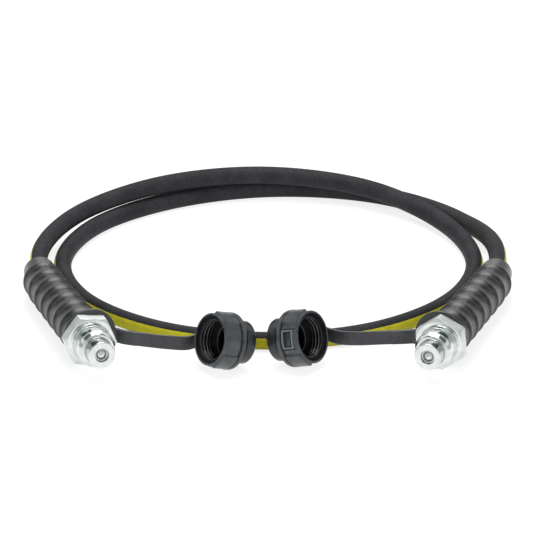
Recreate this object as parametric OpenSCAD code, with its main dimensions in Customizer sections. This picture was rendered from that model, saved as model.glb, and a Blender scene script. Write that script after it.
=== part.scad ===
// Hydraulic hose assembly: a wire-braided rubber hose in a flat coil of one and a half turns,
// with a ball-check coupler, a ribbed bend guard and a tethered dust cap at each end.
// Millimetres, +Z up, resting on z = 0. The origin lies on the floor, midway between the two
// end fittings and midway along them, and the coil lies behind it in +Y.

/* [Hose] */
// Outside diameter of the rubber cover
hose_d = 13; // [11:0.5:15]
// Diameter over the steel wire braid
braid_d = 10.4; // [9:0.2:11]
// Outside diameter of the inner tube
core_d = 9; // [8:0.2:10]
// Bore of the inner tube
bore_d = 6.4; // [4.8:0.2:6.8]

/* [Fitting placement] */
// Distance of the left nose from the middle of the assembly
nose_x_left = 121; // [115:1:127]
// Distance of the right nose from the middle of the assembly
nose_x_right = 115; // [109:1:121]
// Distance of the left nose in front of the origin
nose_y_left = 87; // [84:1:92]
// Distance of the right nose in front of the origin
nose_y_right = 91; // [86:1:94]
// Turn of the left fitting towards the middle, degrees
yaw_left = 16; // [12:0.5:18]
// Turn of the right fitting towards the middle, degrees
yaw_right = 17; // [12:0.5:18]
// Rise of both fittings towards the nose, degrees
rise = 2; // [1.4:0.1:2.6]

/* [Coupler body] */
// Nose diameter
nose_d = 20; // [18:0.5:22]
// Nose length, from its face to the threaded barrel
nose_len = 11; // [8:0.5:14]
// Diameter of the barrel that the union sleeve and the dust cap screw onto
barrel_d = 28.4; // [26:0.2:30]
// Length of the barrel
barrel_len = 18.5; // [15:0.5:20]
// Hexagon across flats
hex_af = 35; // [32:0.5:38]
// Hexagon thickness
hex_len = 10.5; // [8:0.5:12]
// Roll of the left hexagon from flat side up, degrees
hex_roll_left = 53; // [0:1:60]
// Roll of the right hexagon from flat side up, degrees
hex_roll_right = 35; // [0:1:60]
// Diameter of the neck behind the hexagon, which the strap's ring turns on
neck_d = 24; // [22:0.5:26]
// Length of the neck
neck_len = 16; // [14:0.5:18]
// Depth of the threaded socket at the rear, which takes the hose nipple
socket_len = 19; // [15:0.5:20]
// Depth of the sunk ring in the nose face
recess_len = 2.2; // [1.5:0.1:3]
// Diameter of the sunk ring in the nose face
recess_d = 10.2; // [9:0.2:12]
// Diameter of the valve hole
valve_hole_d = 7.8; // [7:0.1:8.2]
// Diameter of the valve chamber
chamber_d = 12; // [11.4:0.1:13]

/* [Valve] */
// Diameter of the check ball
ball_d = 9.5; // [9.2:0.1:10]
// How far the ball opens
ball_travel = 3.5; // [2:0.5:4]
// Wire diameter of the ball spring
spring_wire = 1; // [0.8:0.1:1.2]
// Diameter of the ball spring through the middle of its wire
spring_d = 8.6; // [8:0.1:9]
// Turns of the ball spring
spring_turns = 4; // [3:1:5]
// Room left between the spring's turns with the ball open
spring_slack = 4.6; // [1:0.2:5]
// Thickness of the spring stop
stop_len = 2.4; // [2:0.2:4]
// Wire thickness of the retaining ring
ring_len = 1.2; // [1:0.1:1.6]

/* [Hose end] */
// Diameter of the nipple's pipe thread
thread_d = 17; // [15:0.2:18]
// Nipple shoulder across flats
shoulder_af = 19; // [17:0.5:20]
// Thickness of the nipple's shoulder
shoulder_len = 6; // [4:0.5:8]
// Bore through the nipple
nipple_bore = 4; // [3:0.2:4.6]
// Length of the nipple's tail in the hose
tail_len = 34; // [28:1:38]
// Outside diameter of the crimped ferrule
ferrule_d = 19.2; // [18:0.2:21]
// Length of the ferrule
ferrule_len = 40; // [36:1:44]

/* [Bend guard] */
// Diameter of the first rib, at the hose end
rib_d_hose = 30; // [27:0.5:31]
// Diameter of the last rib, at the coupler end
rib_d_coupler = 34; // [31:0.5:38]
// Number of ribs
rib_count = 7; // [5:1:8]
// Depth of the grooves between the ribs
groove_depth = 1.6; // [0.8:0.2:2.4]
// Width of the grooves between the ribs
groove_len = 3.6; // [2:0.2:5]
// Diameter of the smooth collar at the hose end
collar_d = 23.5; // [20:0.5:26]
// Length of the smooth collar
collar_len = 19; // [14:1:24]
// Diameter of the hose passage through the guard
passage_d = 14.2; // [14:0.1:15]

/* [Dust cap] */
// Outside diameter of the skirt
skirt_d = 38.6; // [37.6:0.2:40]
// Distance from the mouth to the flange
skirt_len = 15; // [14:0.5:17]
// Diameter of the mouth's lead-in
mouth_d = 35; // [33:0.2:35.4]
// Depth of the mouth's lead-in
mouth_len = 2.4; // [1.6:0.2:3]
// Flange diameter
flange_d = 42; // [41:0.5:45]
// Flange thickness
flange_len = 3.2; // [2.8:0.1:5]
// Diameter of the neck that turns in the strap's small ring
cap_neck_d = 26; // [25:0.5:27]
// Length of the cap's neck
cap_neck_len = 4.6; // [3.2:0.1:5]
// Diameter of the end disc
disc_d = 31.4; // [30:0.2:34]
// Thickness of the end disc
disc_len = 8; // [5:0.5:9]
// Wall that closes the cap behind its pocket for the nose
cap_wall = 3; // [2:0.5:4]
// Number of grip lugs around the skirt
lug_count = 3; // [3:1:4]
// Width of each grip lug, degrees
lug_angle = 48; // [40:1:60]
// Height of the grip lugs
lug_rise = 1.7; // [0.8:0.1:1.9]
// Length of the raised panel along the cap
panel_len = 12; // [8:0.5:13]
// Width of the raised panel around the cap
panel_w = 15; // [12:0.5:16]
// Width of the raised panel's rim
panel_rim = 1.4; // [1:0.1:2]
// Turn of both caps towards the outside, degrees
cap_turn = 57; // [50:1:65]
// Tilt of both caps, mouth up, degrees
cap_tilt = 16.5; // [12:0.5:18]

/* [Strap] */
// Width of the strap's band
strap_w = 10.6; // [8:0.2:12]
// Thickness of the strap
strap_t = 2.4; // [1.8:0.1:2.6]
// Outside diameter of the ring on the coupler
big_ring_d = 41; // [41:0.2:44]
// How far that ring's outline lies off its bore, towards the band
big_ring_off = 1.5; // [0:0.1:2]
// Outside diameter of the ring on the cap
small_ring_d = 34; // [33:0.5:36]

/* [Hidden] */
// Running clearance between a turning ring and its neck, on the radius
turn_gap = 0.1;
// Clearance between pieces that fit into each other, on the radius
fit_gap = 0.1;
// Clearance that keeps a turning ring off the faces beside it
side_gap = 0.3;
// Clearance between the check ball and its seat, along the axis
seat_gap = 0.1;
// Half angle of the valve seat cone
seat_angle = 30;
// Height of each dust cap's flange centre above the floor
cap_z = flange_d / 2 * cos(cap_tilt) + flange_len / 2 * sin(cap_tilt);
// Clearance that the dust cap's thread crests leave around the barrel
crest_gap = 0.3;
// Depth and spacing of the dust cap's thread
crest_depth = 1.2;
crest_pitch = 2.8;
crest_count = 4;
// Small edge chamfer
edge = 0.8;
// What a cut runs past the surface it opens
past = 1;

// Distances behind the nose face, along a fitting
hex_at = nose_len + barrel_len;
neck_at = hex_at + hex_len;
body_end = neck_at + neck_len;
guard_at = neck_at + strap_t + 2 * side_gap;
socket_at = body_end - socket_len;
shoulder_at = body_end + side_gap;
ferrule_at = shoulder_at + shoulder_len;
ferrule_lip = 3;
hose_at = ferrule_at + ferrule_lip + fit_gap;
straight_to = 110;
guard_end = 187;
collar_at = guard_end - collar_len;
seat_at = recess_len + 0.7;
seat_apex = seat_at - valve_hole_d / 2 / tan(seat_angle);
ball_at = seat_apex + ball_d / 2 / sin(seat_angle) + seat_gap;
chamber_at = seat_apex + chamber_d / 2 / tan(seat_angle);
// The spring's front turn bears on the ball's back, and its last turn on the stop
curl_rings = 8;
curl_r = spring_d / 2 * cos(180 / curl_rings);
spring_from = ball_at + sqrt(((ball_d + spring_wire) / 2) ^ 2 - curl_r ^ 2) + seat_gap;
spring_to = spring_from + ball_travel + spring_turns * spring_wire + spring_slack;
stop_at = spring_to + spring_wire / 2 + seat_gap;

big_ring_mid = neck_at + side_gap + strap_t / 2;
// Height of both noses: a ring or a hexagon corner stands on the floor
stand_r = max(big_ring_d / 2, hex_af / 2 / cos(30));
nose_z = stand_r * cos(rise) + (big_ring_mid + strap_t / 2) * sin(rise);

// Each side: [nose centre, turn about Z, hexagon roll, mirror sign]
LEFT = [[-nose_x_left, -nose_y_left, nose_z], yaw_left, hex_roll_left, -1];
RIGHT = [[nose_x_right, -nose_y_right, nose_z], -yaw_right, hex_roll_right, 1];

// The hose's lay: [degrees turned, radius, height]. The first end climbs onto the second, which
// lies on the floor, crosses over it at the back and drops inside it.
coil_y = 130;
lay = [
    [0, 168, 15.6], [30, 157.5, 17.2], [60, 147, 20.1], [90, 145.5, 19.2],
    [120, 148, 15.2], [150, 150, 8.4], [180, 151, 6.5], [210, 151, 6.5],
    [240, 151, 6.5], [270, 150, 6.5], [300, 151, 6.5], [330, 152, 6.5],
    [360, 151.5, 6.5], [390, 148.5, 6.5], [420, 146, 6.5], [450, 151, 6.5],
    [480, 159.5, 6.5], [510, 166, 6.6], [540, 167.5, 15.6]
];
// Where the hose leaves each guard
collar_left = [-168, 93, 15.8];
collar_right = [166.5, 90, 15.8];

// Centre of each dust cap's flange
cap_left = [-29.5, -55.5, cap_z];
cap_right = [18.5, -50.5, cap_z];
// Roll of each cap, which sets the panel's place around it
cap_roll_left = 258;
cap_roll_right = 172;

$fn = 48;

// ---- places and directions -------------------------------------------------------------

function unit(v) = v / norm(v);

// Direction in which a fitting's nose points
function fitting_axis(side) =
    [cos(rise) * sin(side[1]), -cos(rise) * cos(side[1]), sin(rise)];

// Point on a fitting's axis, at a distance behind the nose face
function on_axis(side, at) = side[0] - at * fitting_axis(side);

// Stands its children on a fitting's axis: +Z runs out of the nose, z = 0 is the nose face
module on_fitting(side)
    translate(side[0])
        rotate([90 - rise, 0, side[1]])
            children();

// Direction in which a dust cap's mouth points
function cap_axis(sign) =
    [sign * cos(cap_tilt) * sin(cap_turn), -cos(cap_tilt) * cos(cap_turn), sin(cap_tilt)];

// Stands its children on a dust cap's axis: +Z runs out of the mouth, z = 0 is the flange's middle
module on_cap(centre, sign)
    translate(centre)
        rotate([90 - cap_tilt, 0, sign * cap_turn])
            children();

// ---- the hose's route ------------------------------------------------------------------

function lay_point(s) = [-s[1] * cos(s[0]), coil_y + s[1] * sin(s[0]), s[2]];

route = concat(
    [for (at = [hose_at, straight_to]) on_axis(LEFT, at)],
    [collar_left],
    [for (s = lay) lay_point(s)],
    [collar_right],
    [for (at = [straight_to, hose_at]) on_axis(RIGHT, at)]
);
last = len(route) - 1;

function chord(i) = norm(route[i + 1] - route[i]);
function heading(i) = (route[i + 1] - route[i]) / chord(i);

// Direction of the route at point i, weighted by the nearer neighbour
function slope(i) =
    i == 0 || i == 1 ? heading(0)
    : i == last || i == last - 1 ? heading(last - 1)
    : (heading(i - 1) * chord(i) + heading(i) * chord(i - 1)) / (chord(i - 1) + chord(i));

// Smooth curve from point i to point i + 1, which never sinks into the floor
function glide(i, f) =
    let (
        start = slope(i) * chord(i),
        end = slope(i + 1) * chord(i),
        p = route[i] * (2 * f ^ 3 - 3 * f ^ 2 + 1) + start * (f ^ 3 - 2 * f ^ 2 + f)
            + route[i + 1] * (3 * f ^ 2 - 2 * f ^ 3) + end * (f ^ 3 - f ^ 2)
    )
    [p[0], p[1], max(p[2], hose_d / 2)];

// Steps along a stretch: one where it is straight, and shorter ones inside a bend guard
function steps(i, step) =
    i == 0 || i == last - 1 ? 1
    : i == 1 || i == last - 2 ? ceil(chord(i) / step * 1.5)
    : ceil(chord(i) / step);

// Points along the route, about as far apart as the given step
function route_points(step) = [
    for (i = [0:last - 1])
        let (n = steps(i, step))
            for (k = [0:n - 1]) glide(i, k / n),
    route[last]
];

// ---- swept tubes -----------------------------------------------------------------------

function tangent(path, i) =
    unit(path[min(i + 1, len(path) - 1)] - path[max(i - 1, 0)]);

// One ring of points around a path, its first side facing up
function ring(p, t, r, sides) =
    let (across = unit(cross(t, [0, 0, 1])), up = cross(across, t))
        [for (k = [0:sides - 1])
            let (a = 360 * (k + 0.5) / sides)
                p + r * (cos(a) * across + sin(a) * up)];

// Two triangles for each side between two rings of points
function skin(first, second, sides) = [
    for (k = [0:sides - 1])
        let (n = (k + 1) % sides)
            each [
                [first + k, second + n, first + n],
                [first + k, second + k, second + n]
            ]
];

// Solid swept along a path, with its own radius at each point
module swept_rod(path, radii, sides) {
    count = len(path);
    points = [for (i = [0:count - 1]) each ring(path[i], tangent(path, i), radii[i], sides)];
    walls = [for (i = [0:count - 2]) each skin((i + 1) * sides, i * sides, sides)];
    ends = [
        for (k = [1:sides - 2]) each [
            [0, k + 1, k],
            [(count - 1) * sides, (count - 1) * sides + k, (count - 1) * sides + k + 1]
        ]
    ];
    polyhedron(points, concat(walls, ends));
}

// Tube swept along a path, with an outer and an inner radius at each point
module swept_tube(path, outer, inner, sides) {
    count = len(path);
    within = count * sides;
    points = [
        for (i = [0:count - 1]) each ring(path[i], tangent(path, i), outer[i], sides),
        for (i = [0:count - 1]) each ring(path[i], tangent(path, i), inner[i], sides)
    ];
    outside = [for (i = [0:count - 2]) each skin((i + 1) * sides, i * sides, sides)];
    // The same triangles turned round, so that one layer's inside lies flat on the next one's outside
    inside = [
        for (i = [0:count - 2])
            for (t = skin(within + (i + 1) * sides, within + i * sides, sides)) [t[2], t[1], t[0]]
    ];
    ends = concat(
        skin(0, within, sides),
        skin(within + (count - 1) * sides, (count - 1) * sides, sides)
    );
    polyhedron(points, concat(outside, inside, ends));
}

function even(count, r) = [for (i = [0:count - 1]) r];

// ---- hose ------------------------------------------------------------------------------

hose_sides = 8;
hose_step = 42;
hose_path = route_points(hose_step);
// A flat-sided bore keeps its full width between flats
bore_r = bore_d / 2 / cos(180 / hose_sides);

module hose_layer(outer_r, inner_r)
    swept_tube(
        hose_path,
        even(len(hose_path), outer_r),
        even(len(hose_path), inner_r),
        hose_sides
    );

module hose_cover()
    color([0.2, 0.2, 0.21])
        hose_layer(hose_d / 2, braid_d / 2);

module hose_braid()
    color([0.62, 0.62, 0.6])
        hose_layer(braid_d / 2, core_d / 2);

module hose_core()
    color([0.1, 0.1, 0.1])
        hose_layer(core_d / 2, bore_r);

// Length of the hose, and the least gap that it leaves to itself where it crosses over
fine_path = route_points(6);
fine_count = len(fine_path);
hose_length = [for (i = 0, s = 0; i < fine_count - 1; s = s + norm(fine_path[i + 1] - fine_path[i]), i = i + 1) s];
apart = 60;
least_gap = min([
    for (i = [0:fine_count - apart - 1])
        min([for (j = [i + apart:fine_count - 1]) norm(fine_path[i] - fine_path[j])])
]) - hose_d;
echo(hose_length_mm = hose_length[len(hose_length) - 1], least_gap_to_itself_mm = least_gap);

// ---- bend guard ------------------------------------------------------------------------

guard_sides = 16;
rib_pitch = (collar_at - guard_at) / rib_count;
// Fitting bores in the guard, flat to flat
boss_r = (neck_d / 2 + fit_gap) / cos(180 / guard_sides);
cavity_r = (shoulder_af / 2 / cos(30) + fit_gap) / cos(180 / guard_sides);
passage_r = passage_d / 2 / cos(180 / guard_sides);
cavity_end = ferrule_at + ferrule_len + side_gap;

// Centre line of a guard, which follows the hose
function guard_point(side, at) =
    at <= straight_to ? on_axis(side, at)
    : side[3] < 0 ? glide(1, (at - straight_to) / (guard_end - straight_to))
    : glide(last - 2, (guard_end - at) / (guard_end - straight_to));

// Radius on the ribs at a distance behind the nose
function rib_r(at) =
    let (f = (at - guard_at) / (collar_at - guard_at))
        (rib_d_coupler + (rib_d_hose - rib_d_coupler) * f) / 2;

// Distances and radii of the outside: a crowned rib, then a groove, and the collar at the end
guard_outside = concat(
    [
        for (k = [0:rib_count - 1])
            let (
                at = guard_at + k * rib_pitch,
                crest = rib_pitch - groove_len
            )
                each [
                    [at, rib_r(at) - groove_depth / 2],
                    [at + crest * 0.25, rib_r(at)],
                    [at + crest * 0.8, rib_r(at)],
                    [at + crest, rib_r(at) - groove_depth]
                ]
    ],
    [
        [collar_at, collar_d / 2 + groove_depth],
        [collar_at + groove_len, collar_d / 2],
        [guard_end, collar_d / 2]
    ]
);

module bend_guard(side) {
    outside = [for (s = guard_outside) guard_point(side, s[0])];
    inside_at = [
        for (at = [guard_at - past, body_end, body_end + fit_gap, cavity_end, cavity_end + edge])
            at,
        for (k = [1:4]) cavity_end + (guard_end + past - cavity_end) * k / 4
    ];
    inside_r = [boss_r, boss_r, cavity_r, cavity_r, passage_r, for (k = [1:4]) passage_r];
    color([0.25, 0.25, 0.25])
        difference() {
            swept_rod(outside, [for (s = guard_outside) s[1]], guard_sides);
            swept_rod([for (at = inside_at) guard_point(side, at)], inside_r, guard_sides);
        }
}

// ---- hose end --------------------------------------------------------------------------

// Crimped sleeve, closed at the front by a lip around the nipple
module ferrule(side)
    color([0.75, 0.76, 0.78])
        on_fitting(side)
            rotate_extrude()
                polygon([
                    [nipple_neck_r + fit_gap, -ferrule_at],
                    [ferrule_d / 2 - edge, -ferrule_at],
                    [ferrule_d / 2, -ferrule_at - edge],
                    [ferrule_d / 2, -ferrule_at - ferrule_len + edge],
                    [ferrule_d / 2 - edge, -ferrule_at - ferrule_len],
                    [hose_d / 2 + fit_gap, -ferrule_at - ferrule_len],
                    [hose_d / 2 + fit_gap, -ferrule_at - ferrule_lip],
                    [nipple_neck_r + fit_gap, -ferrule_at - ferrule_lip]
                ]);

nipple_neck_r = core_d / 2;
tail_r = bore_d / 2 - fit_gap;
tail_groove = 0.5;
tail_grooves = 4;

// Threaded adaptor, with a hexagonal shoulder and a grooved tail that the hose is crimped on
module hose_nipple(side) {
    tail_end = hose_at + tail_len;
    step = tail_len / (tail_grooves + 1);
    color([0.8, 0.8, 0.78])
        on_fitting(side)
            difference() {
                union() {
                    translate([0, 0, -body_end])
                        cylinder(h = socket_len - 2 * edge, r = thread_d / 2);
                    translate([0, 0, -ferrule_at])
                        cylinder(h = shoulder_len, r = shoulder_af / 2 / cos(30), $fn = 6);
                    translate([0, 0, -shoulder_at])
                        cylinder(h = side_gap, r = thread_d / 2);
                    translate([0, 0, -ferrule_at - ferrule_lip])
                        cylinder(h = ferrule_lip, r = nipple_neck_r);
                    translate([0, 0, -tail_end])
                        cylinder(h = tail_len + fit_gap, r = tail_r);
                }
                for (k = [1:tail_grooves])
                    translate([0, 0, -hose_at - k * step])
                        difference() {
                            cylinder(h = step / 3, r = tail_r + past);
                            translate([0, 0, -past])
                                cylinder(h = step / 3 + 2 * past, r = tail_r - tail_groove);
                        }
                translate([0, 0, -tail_end - past])
                    cylinder(h = tail_end, r = nipple_bore / 2);
            }
}

// ---- coupler ---------------------------------------------------------------------------

// Hexagon with its corners rounded off by a shallow cone on both faces
module chamfered_hex(af, h) {
    corner_r = af / 2 / cos(30);
    fall = (corner_r - af / 2 + edge / 4) * tan(30);
    intersection() {
        cylinder(h = h, r = corner_r, $fn = 6);
        rotate_extrude()
            polygon([
                [0, 0], [af / 2 - edge / 4, 0], [corner_r, fall],
                [corner_r, h - fall], [af / 2 - edge / 4, h], [0, h]
            ]);
    }
}

relief_len = 2.4;
relief_depth = 1.2;

// Nose, threaded barrel, hexagon and neck, turned from one bar and bored through
module coupler_body(side)
    color([0.8, 0.82, 0.84])
        on_fitting(side)
            difference() {
                union() {
                    rotate_extrude()
                        polygon([
                            [0, 0],
                            [nose_d / 2 - edge, 0],
                            [nose_d / 2, -edge],
                            [nose_d / 2, -nose_len + edge],
                            [nose_d / 2 - edge / 2, -nose_len + edge],
                            [nose_d / 2 - edge / 2, -nose_len],
                            [barrel_d / 2 - 2 * edge, -nose_len],
                            [barrel_d / 2, -nose_len - edge],
                            [barrel_d / 2, -hex_at + relief_len],
                            [barrel_d / 2 - relief_depth, -hex_at + relief_len],
                            [barrel_d / 2 - relief_depth, -hex_at - edge],
                            [neck_d / 2, -neck_at + edge],
                            [neck_d / 2, -body_end + edge],
                            [neck_d / 2 - edge, -body_end],
                            [0, -body_end]
                        ]);
                    translate([0, 0, -neck_at])
                        rotate(side[2])
                            chamfered_hex(hex_af, hex_len);
                }
                translate([0, 0, -recess_len])
                    cylinder(h = recess_len + past, r = recess_d / 2);
                rotate_extrude()
                    polygon([
                        [0, past],
                        [valve_hole_d / 2, past],
                        [valve_hole_d / 2, -seat_at],
                        [chamber_d / 2, -chamber_at],
                        [chamber_d / 2, -stop_at - stop_len - fit_gap],
                        [chamber_d / 2 + ring_bite, -stop_at - stop_len - fit_gap],
                        [chamber_d / 2 + ring_bite, -stop_at - stop_len - ring_len - 3 * fit_gap],
                        [chamber_d / 2, -stop_at - stop_len - ring_len - 3 * fit_gap],
                        [chamber_d / 2, -socket_at - past],
                        [0, -socket_at - past]
                    ]);
                translate([0, 0, -body_end - past])
                    cylinder(h = socket_len + past, r = thread_d / 2 + fit_gap);
            }

module check_ball(side)
    color([0.85, 0.86, 0.88])
        on_fitting(side)
            translate([0, 0, -ball_at])
                sphere(r = ball_d / 2);

wire_sides = 6;

module ball_spring(side) {
    count = spring_turns * curl_rings;
    path = [
        for (k = [0:count])
            let (a = 360 * k / curl_rings)
                [
                    spring_d / 2 * cos(a),
                    spring_d / 2 * sin(a),
                    -spring_from - (spring_to - spring_from) * k / count
                ]
    ];
    color([0.7, 0.7, 0.7])
        on_fitting(side)
            swept_rod(path, even(count + 1, spring_wire / 2), wire_sides);
}
echo(
    spring_gap_between_turns_mm = (spring_to - spring_from) / spring_turns - spring_wire,
    stop_at_mm = stop_at
);

flow_hole_d = 3;
flow_holes = 3;

// Drilled disc that backs the spring and lets the oil through
module spring_stop(side)
    color([0.72, 0.72, 0.7])
        on_fitting(side)
            translate([0, 0, -stop_at - stop_len])
                difference() {
                    cylinder(h = stop_len, r = chamber_d / 2 - fit_gap);
                    for (k = [0:flow_holes - 1])
                        rotate(360 * k / flow_holes)
                            translate([chamber_d / 4, 0, -past])
                                cylinder(h = stop_len + 2 * past, r = flow_hole_d / 2);
                }

ring_bite = 0.7;
ring_w = 1.8;
ring_opening = 3;

// Open wire ring, sprung into its groove behind the stop
module retaining_ring(side)
    color([0.55, 0.55, 0.56])
        on_fitting(side)
            translate([0, 0, -stop_at - stop_len - ring_len - 2 * fit_gap])
                difference() {
                    cylinder(h = ring_len, r = chamber_d / 2 + ring_bite - fit_gap);
                    translate([0, 0, -past])
                        cylinder(h = ring_len + 2 * past, r = chamber_d / 2 + ring_bite - ring_w);
                    translate([0, -ring_opening / 2, -past])
                        cube([chamber_d, ring_opening, ring_len + 2 * past]);
                }

// ---- dust cap --------------------------------------------------------------------------

mouth_z = skirt_len + flange_len / 2;
cap_neck_z = -flange_len / 2;
disc_z = cap_neck_z - cap_neck_len;
crest_r = barrel_d / 2 + crest_gap;
root_r = crest_r + crest_depth;
pocket_r = nose_d / 2 + crest_gap;
pocket_fall = 2;
pocket_z = disc_z - disc_len + cap_wall;
thread_floor = mouth_z - mouth_len - crest_count * crest_pitch;
lug_end = 2;

// Raised rectangular rim, wrapped on the skirt
module panel_rim_on_skirt(roll) {
    inner_len = panel_len - 2 * panel_rim;
    inner_w = panel_w - 2 * panel_rim;
    intersection() {
        rotate(roll)
            translate([0, 0, (flange_len + panel_len + edge) / 2])
                difference() {
                    translate([0, -panel_w / 2, -panel_len / 2])
                        cube([skirt_d, panel_w, panel_len]);
                    translate([-past, -inner_w / 2, -inner_len / 2])
                        cube([skirt_d + 2 * past, inner_w, inner_len]);
                }
        difference() {
            cylinder(h = mouth_z, r = skirt_d / 2 + lug_rise / 2);
            translate([0, 0, -past])
                cylinder(h = mouth_z + 2 * past, r = skirt_d / 2 - edge);
        }
    }
}

// One grip lug: a slice of a thicker skirt
module grip_lug()
    rotate_extrude(angle = lug_angle)
        polygon([
            [skirt_d / 2 - edge, 0],
            [skirt_d / 2 + lug_rise, 0],
            [skirt_d / 2 + lug_rise, mouth_z - lug_end],
            [skirt_d / 2 - edge, mouth_z - lug_end + edge]
        ]);

// Threaded cup with a grooved neck: the neck turns in the strap's small ring
module dust_cap(centre, sign, roll)
    color([0.12, 0.12, 0.13])
        on_cap(centre, sign)
            difference() {
                union() {
                    rotate_extrude()
                        polygon([
                            [0, disc_z - disc_len],
                            [disc_d / 2 - edge, disc_z - disc_len],
                            [disc_d / 2, disc_z - disc_len + edge],
                            [disc_d / 2, disc_z],
                            [cap_neck_d / 2, disc_z],
                            [cap_neck_d / 2, cap_neck_z],
                            [flange_d / 2 - edge / 2, cap_neck_z],
                            [flange_d / 2, cap_neck_z + edge / 2],
                            [flange_d / 2, -cap_neck_z - edge / 2],
                            [flange_d / 2 - edge / 2, -cap_neck_z],
                            [skirt_d / 2, -cap_neck_z],
                            [skirt_d / 2, mouth_z - edge],
                            [skirt_d / 2 - edge, mouth_z],
                            [0, mouth_z]
                        ]);
                    for (k = [0:lug_count - 1])
                        rotate(roll + 360 * (k + 0.5) / lug_count - lug_angle / 2)
                            grip_lug();
                    panel_rim_on_skirt(roll);
                }
                rotate_extrude()
                    polygon(concat(
                        [
                            [0, pocket_z],
                            [pocket_r, pocket_z],
                            [pocket_r, thread_floor - pocket_fall],
                            [crest_r, thread_floor]
                        ],
                        [
                            for (k = [crest_count - 1:-1:0])
                                let (z = mouth_z - mouth_len - (k + 1) * crest_pitch)
                                    each [
                                        [root_r, z + crest_pitch * 0.35],
                                        [root_r, z + crest_pitch * 0.6],
                                        [crest_r, z + crest_pitch * 0.9]
                                    ]
                        ],
                        [
                            [mouth_d / 2, mouth_z - mouth_len],
                            [mouth_d / 2, mouth_z + past],
                            [0, mouth_z + past]
                        ]
                    ));
            }

// ---- strap -----------------------------------------------------------------------------

small_ring_mid = cap_neck_z - side_gap - strap_t / 2;
// The band is a little thinner than the rings that it joins
band_t = strap_t - 0.2;

// Middle of each band between its rings, in round steps chosen by hand: it stands on edge
// and passes behind the cap's skirt
band_left = [
    [-104, -44.5, 19], [-88, -47.5, 18], [-72, -48, 16.4],
    [-59, -44.5, 14.6], [-50, -37.5, 15.5], [-44, -32, 18]
];
band_right = [
    [98, -45.5, 19.8], [82, -46.5, 19.6], [66, -45, 18.4],
    [52, -40, 17], [40.5, -32.5, 17.4], [33.5, -28, 18.5]
];
band_steps = 4;

// Upright direction in the plane of a dust cap's ring
function cap_up(sign) =
    [-sign * sin(cap_tilt) * sin(cap_turn), sin(cap_tilt) * cos(cap_turn), cos(cap_tilt)];

// Rectangle standing on edge across a path
function slat(p, t, upright) =
    let (across = unit(cross(t, upright)), up = cross(across, t))
        [
            for (c = [[-1, -1], [1, -1], [1, 1], [-1, 1]])
                p + c[0] * band_t / 2 * across + c[1] * strap_w / 2 * up
        ];

// Smooth curve through the band's points
function band_glide(pts, i, f) =
    let (
        a = pts[max(i - 1, 0)],
        b = pts[i],
        c = pts[i + 1],
        d = pts[min(i + 2, len(pts) - 1)]
    )
        b * (2 * f ^ 3 - 3 * f ^ 2 + 1) + (c - a) / 2 * (f ^ 3 - 2 * f ^ 2 + f)
            + c * (3 * f ^ 2 - 2 * f ^ 3) + (d - b) / 2 * (f ^ 3 - f ^ 2);

function band_path(pts) = [
    for (i = [0:len(pts) - 2])
        for (k = [0:band_steps - 1]) band_glide(pts, i, k / band_steps),
    pts[len(pts) - 1]
];

// Band swept along a path: it leans into the cap's ring over its last stretches
module band(path, lean) {
    count = len(path);
    lean_from = count - 1 - 4 * band_steps;
    points = [
        for (i = [0:count - 1])
            let (f = min(max((i - lean_from) / (2 * band_steps), 0), 1))
                each slat(path[i], tangent(path, i), unit([0, 0, 1] * (1 - f) + lean * f))
    ];
    walls = [for (i = [0:count - 2]) each skin((i + 1) * 4, i * 4, 4)];
    end = 4 * count - 4;
    ends = [[0, 2, 1], [0, 3, 2], [end, end + 1, end + 2], [end, end + 2, end + 3]];
    polyhedron(points, concat(walls, ends));
}

// Flat ring around a neck, bored for a running fit, its outline lying off the bore
module flat_ring(outer_d, neck, off)
    translate([0, 0, -strap_t / 2])
        difference() {
            translate([off, 0, 0])
                cylinder(h = strap_t, r = outer_d / 2);
            translate([0, 0, -past])
                cylinder(h = strap_t + 2 * past, r = neck / 2 + turn_gap);
        }

// Point in a ring's plane, off its axis by a distance, on the side of another point
function in_ring(centre, normal, towards, off) =
    let (out = towards - centre, flat = out - (out * normal) * normal)
        centre + off * unit(flat);

module strap(side, centre, sign, pts) {
    big = on_axis(side, big_ring_mid);
    big_n = fitting_axis(side);
    small = centre + small_ring_mid * cap_axis(sign);
    small_n = cap_axis(sign);
    // The band stays in a ring's plane until it has cleared the hexagon or the flange
    far = small - sign * small_ring_d * [-cos(cap_turn), -sin(cap_turn) * sign, 0];
    path = band_path(concat(
        [
            for (off = [big_ring_d / 2 - strap_t, big_ring_d / 2 + strap_t])
                in_ring(big, big_n, pts[0], off)
        ],
        pts,
        [
            for (off = [flange_d / 2 + strap_t, small_ring_d / 2 - strap_t])
                in_ring(small, small_n, far, off)
        ]
    ));
    color([0.15, 0.15, 0.16])
        union() {
            on_fitting(side)
                translate([0, 0, -big_ring_mid])
                    flat_ring(big_ring_d, neck_d, -sign * big_ring_off);
            on_cap(centre, sign)
                translate([0, 0, small_ring_mid])
                    flat_ring(small_ring_d, cap_neck_d, 0);
            band(path, cap_up(sign));
        }
}

// ---- the assembly ----------------------------------------------------------------------

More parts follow.
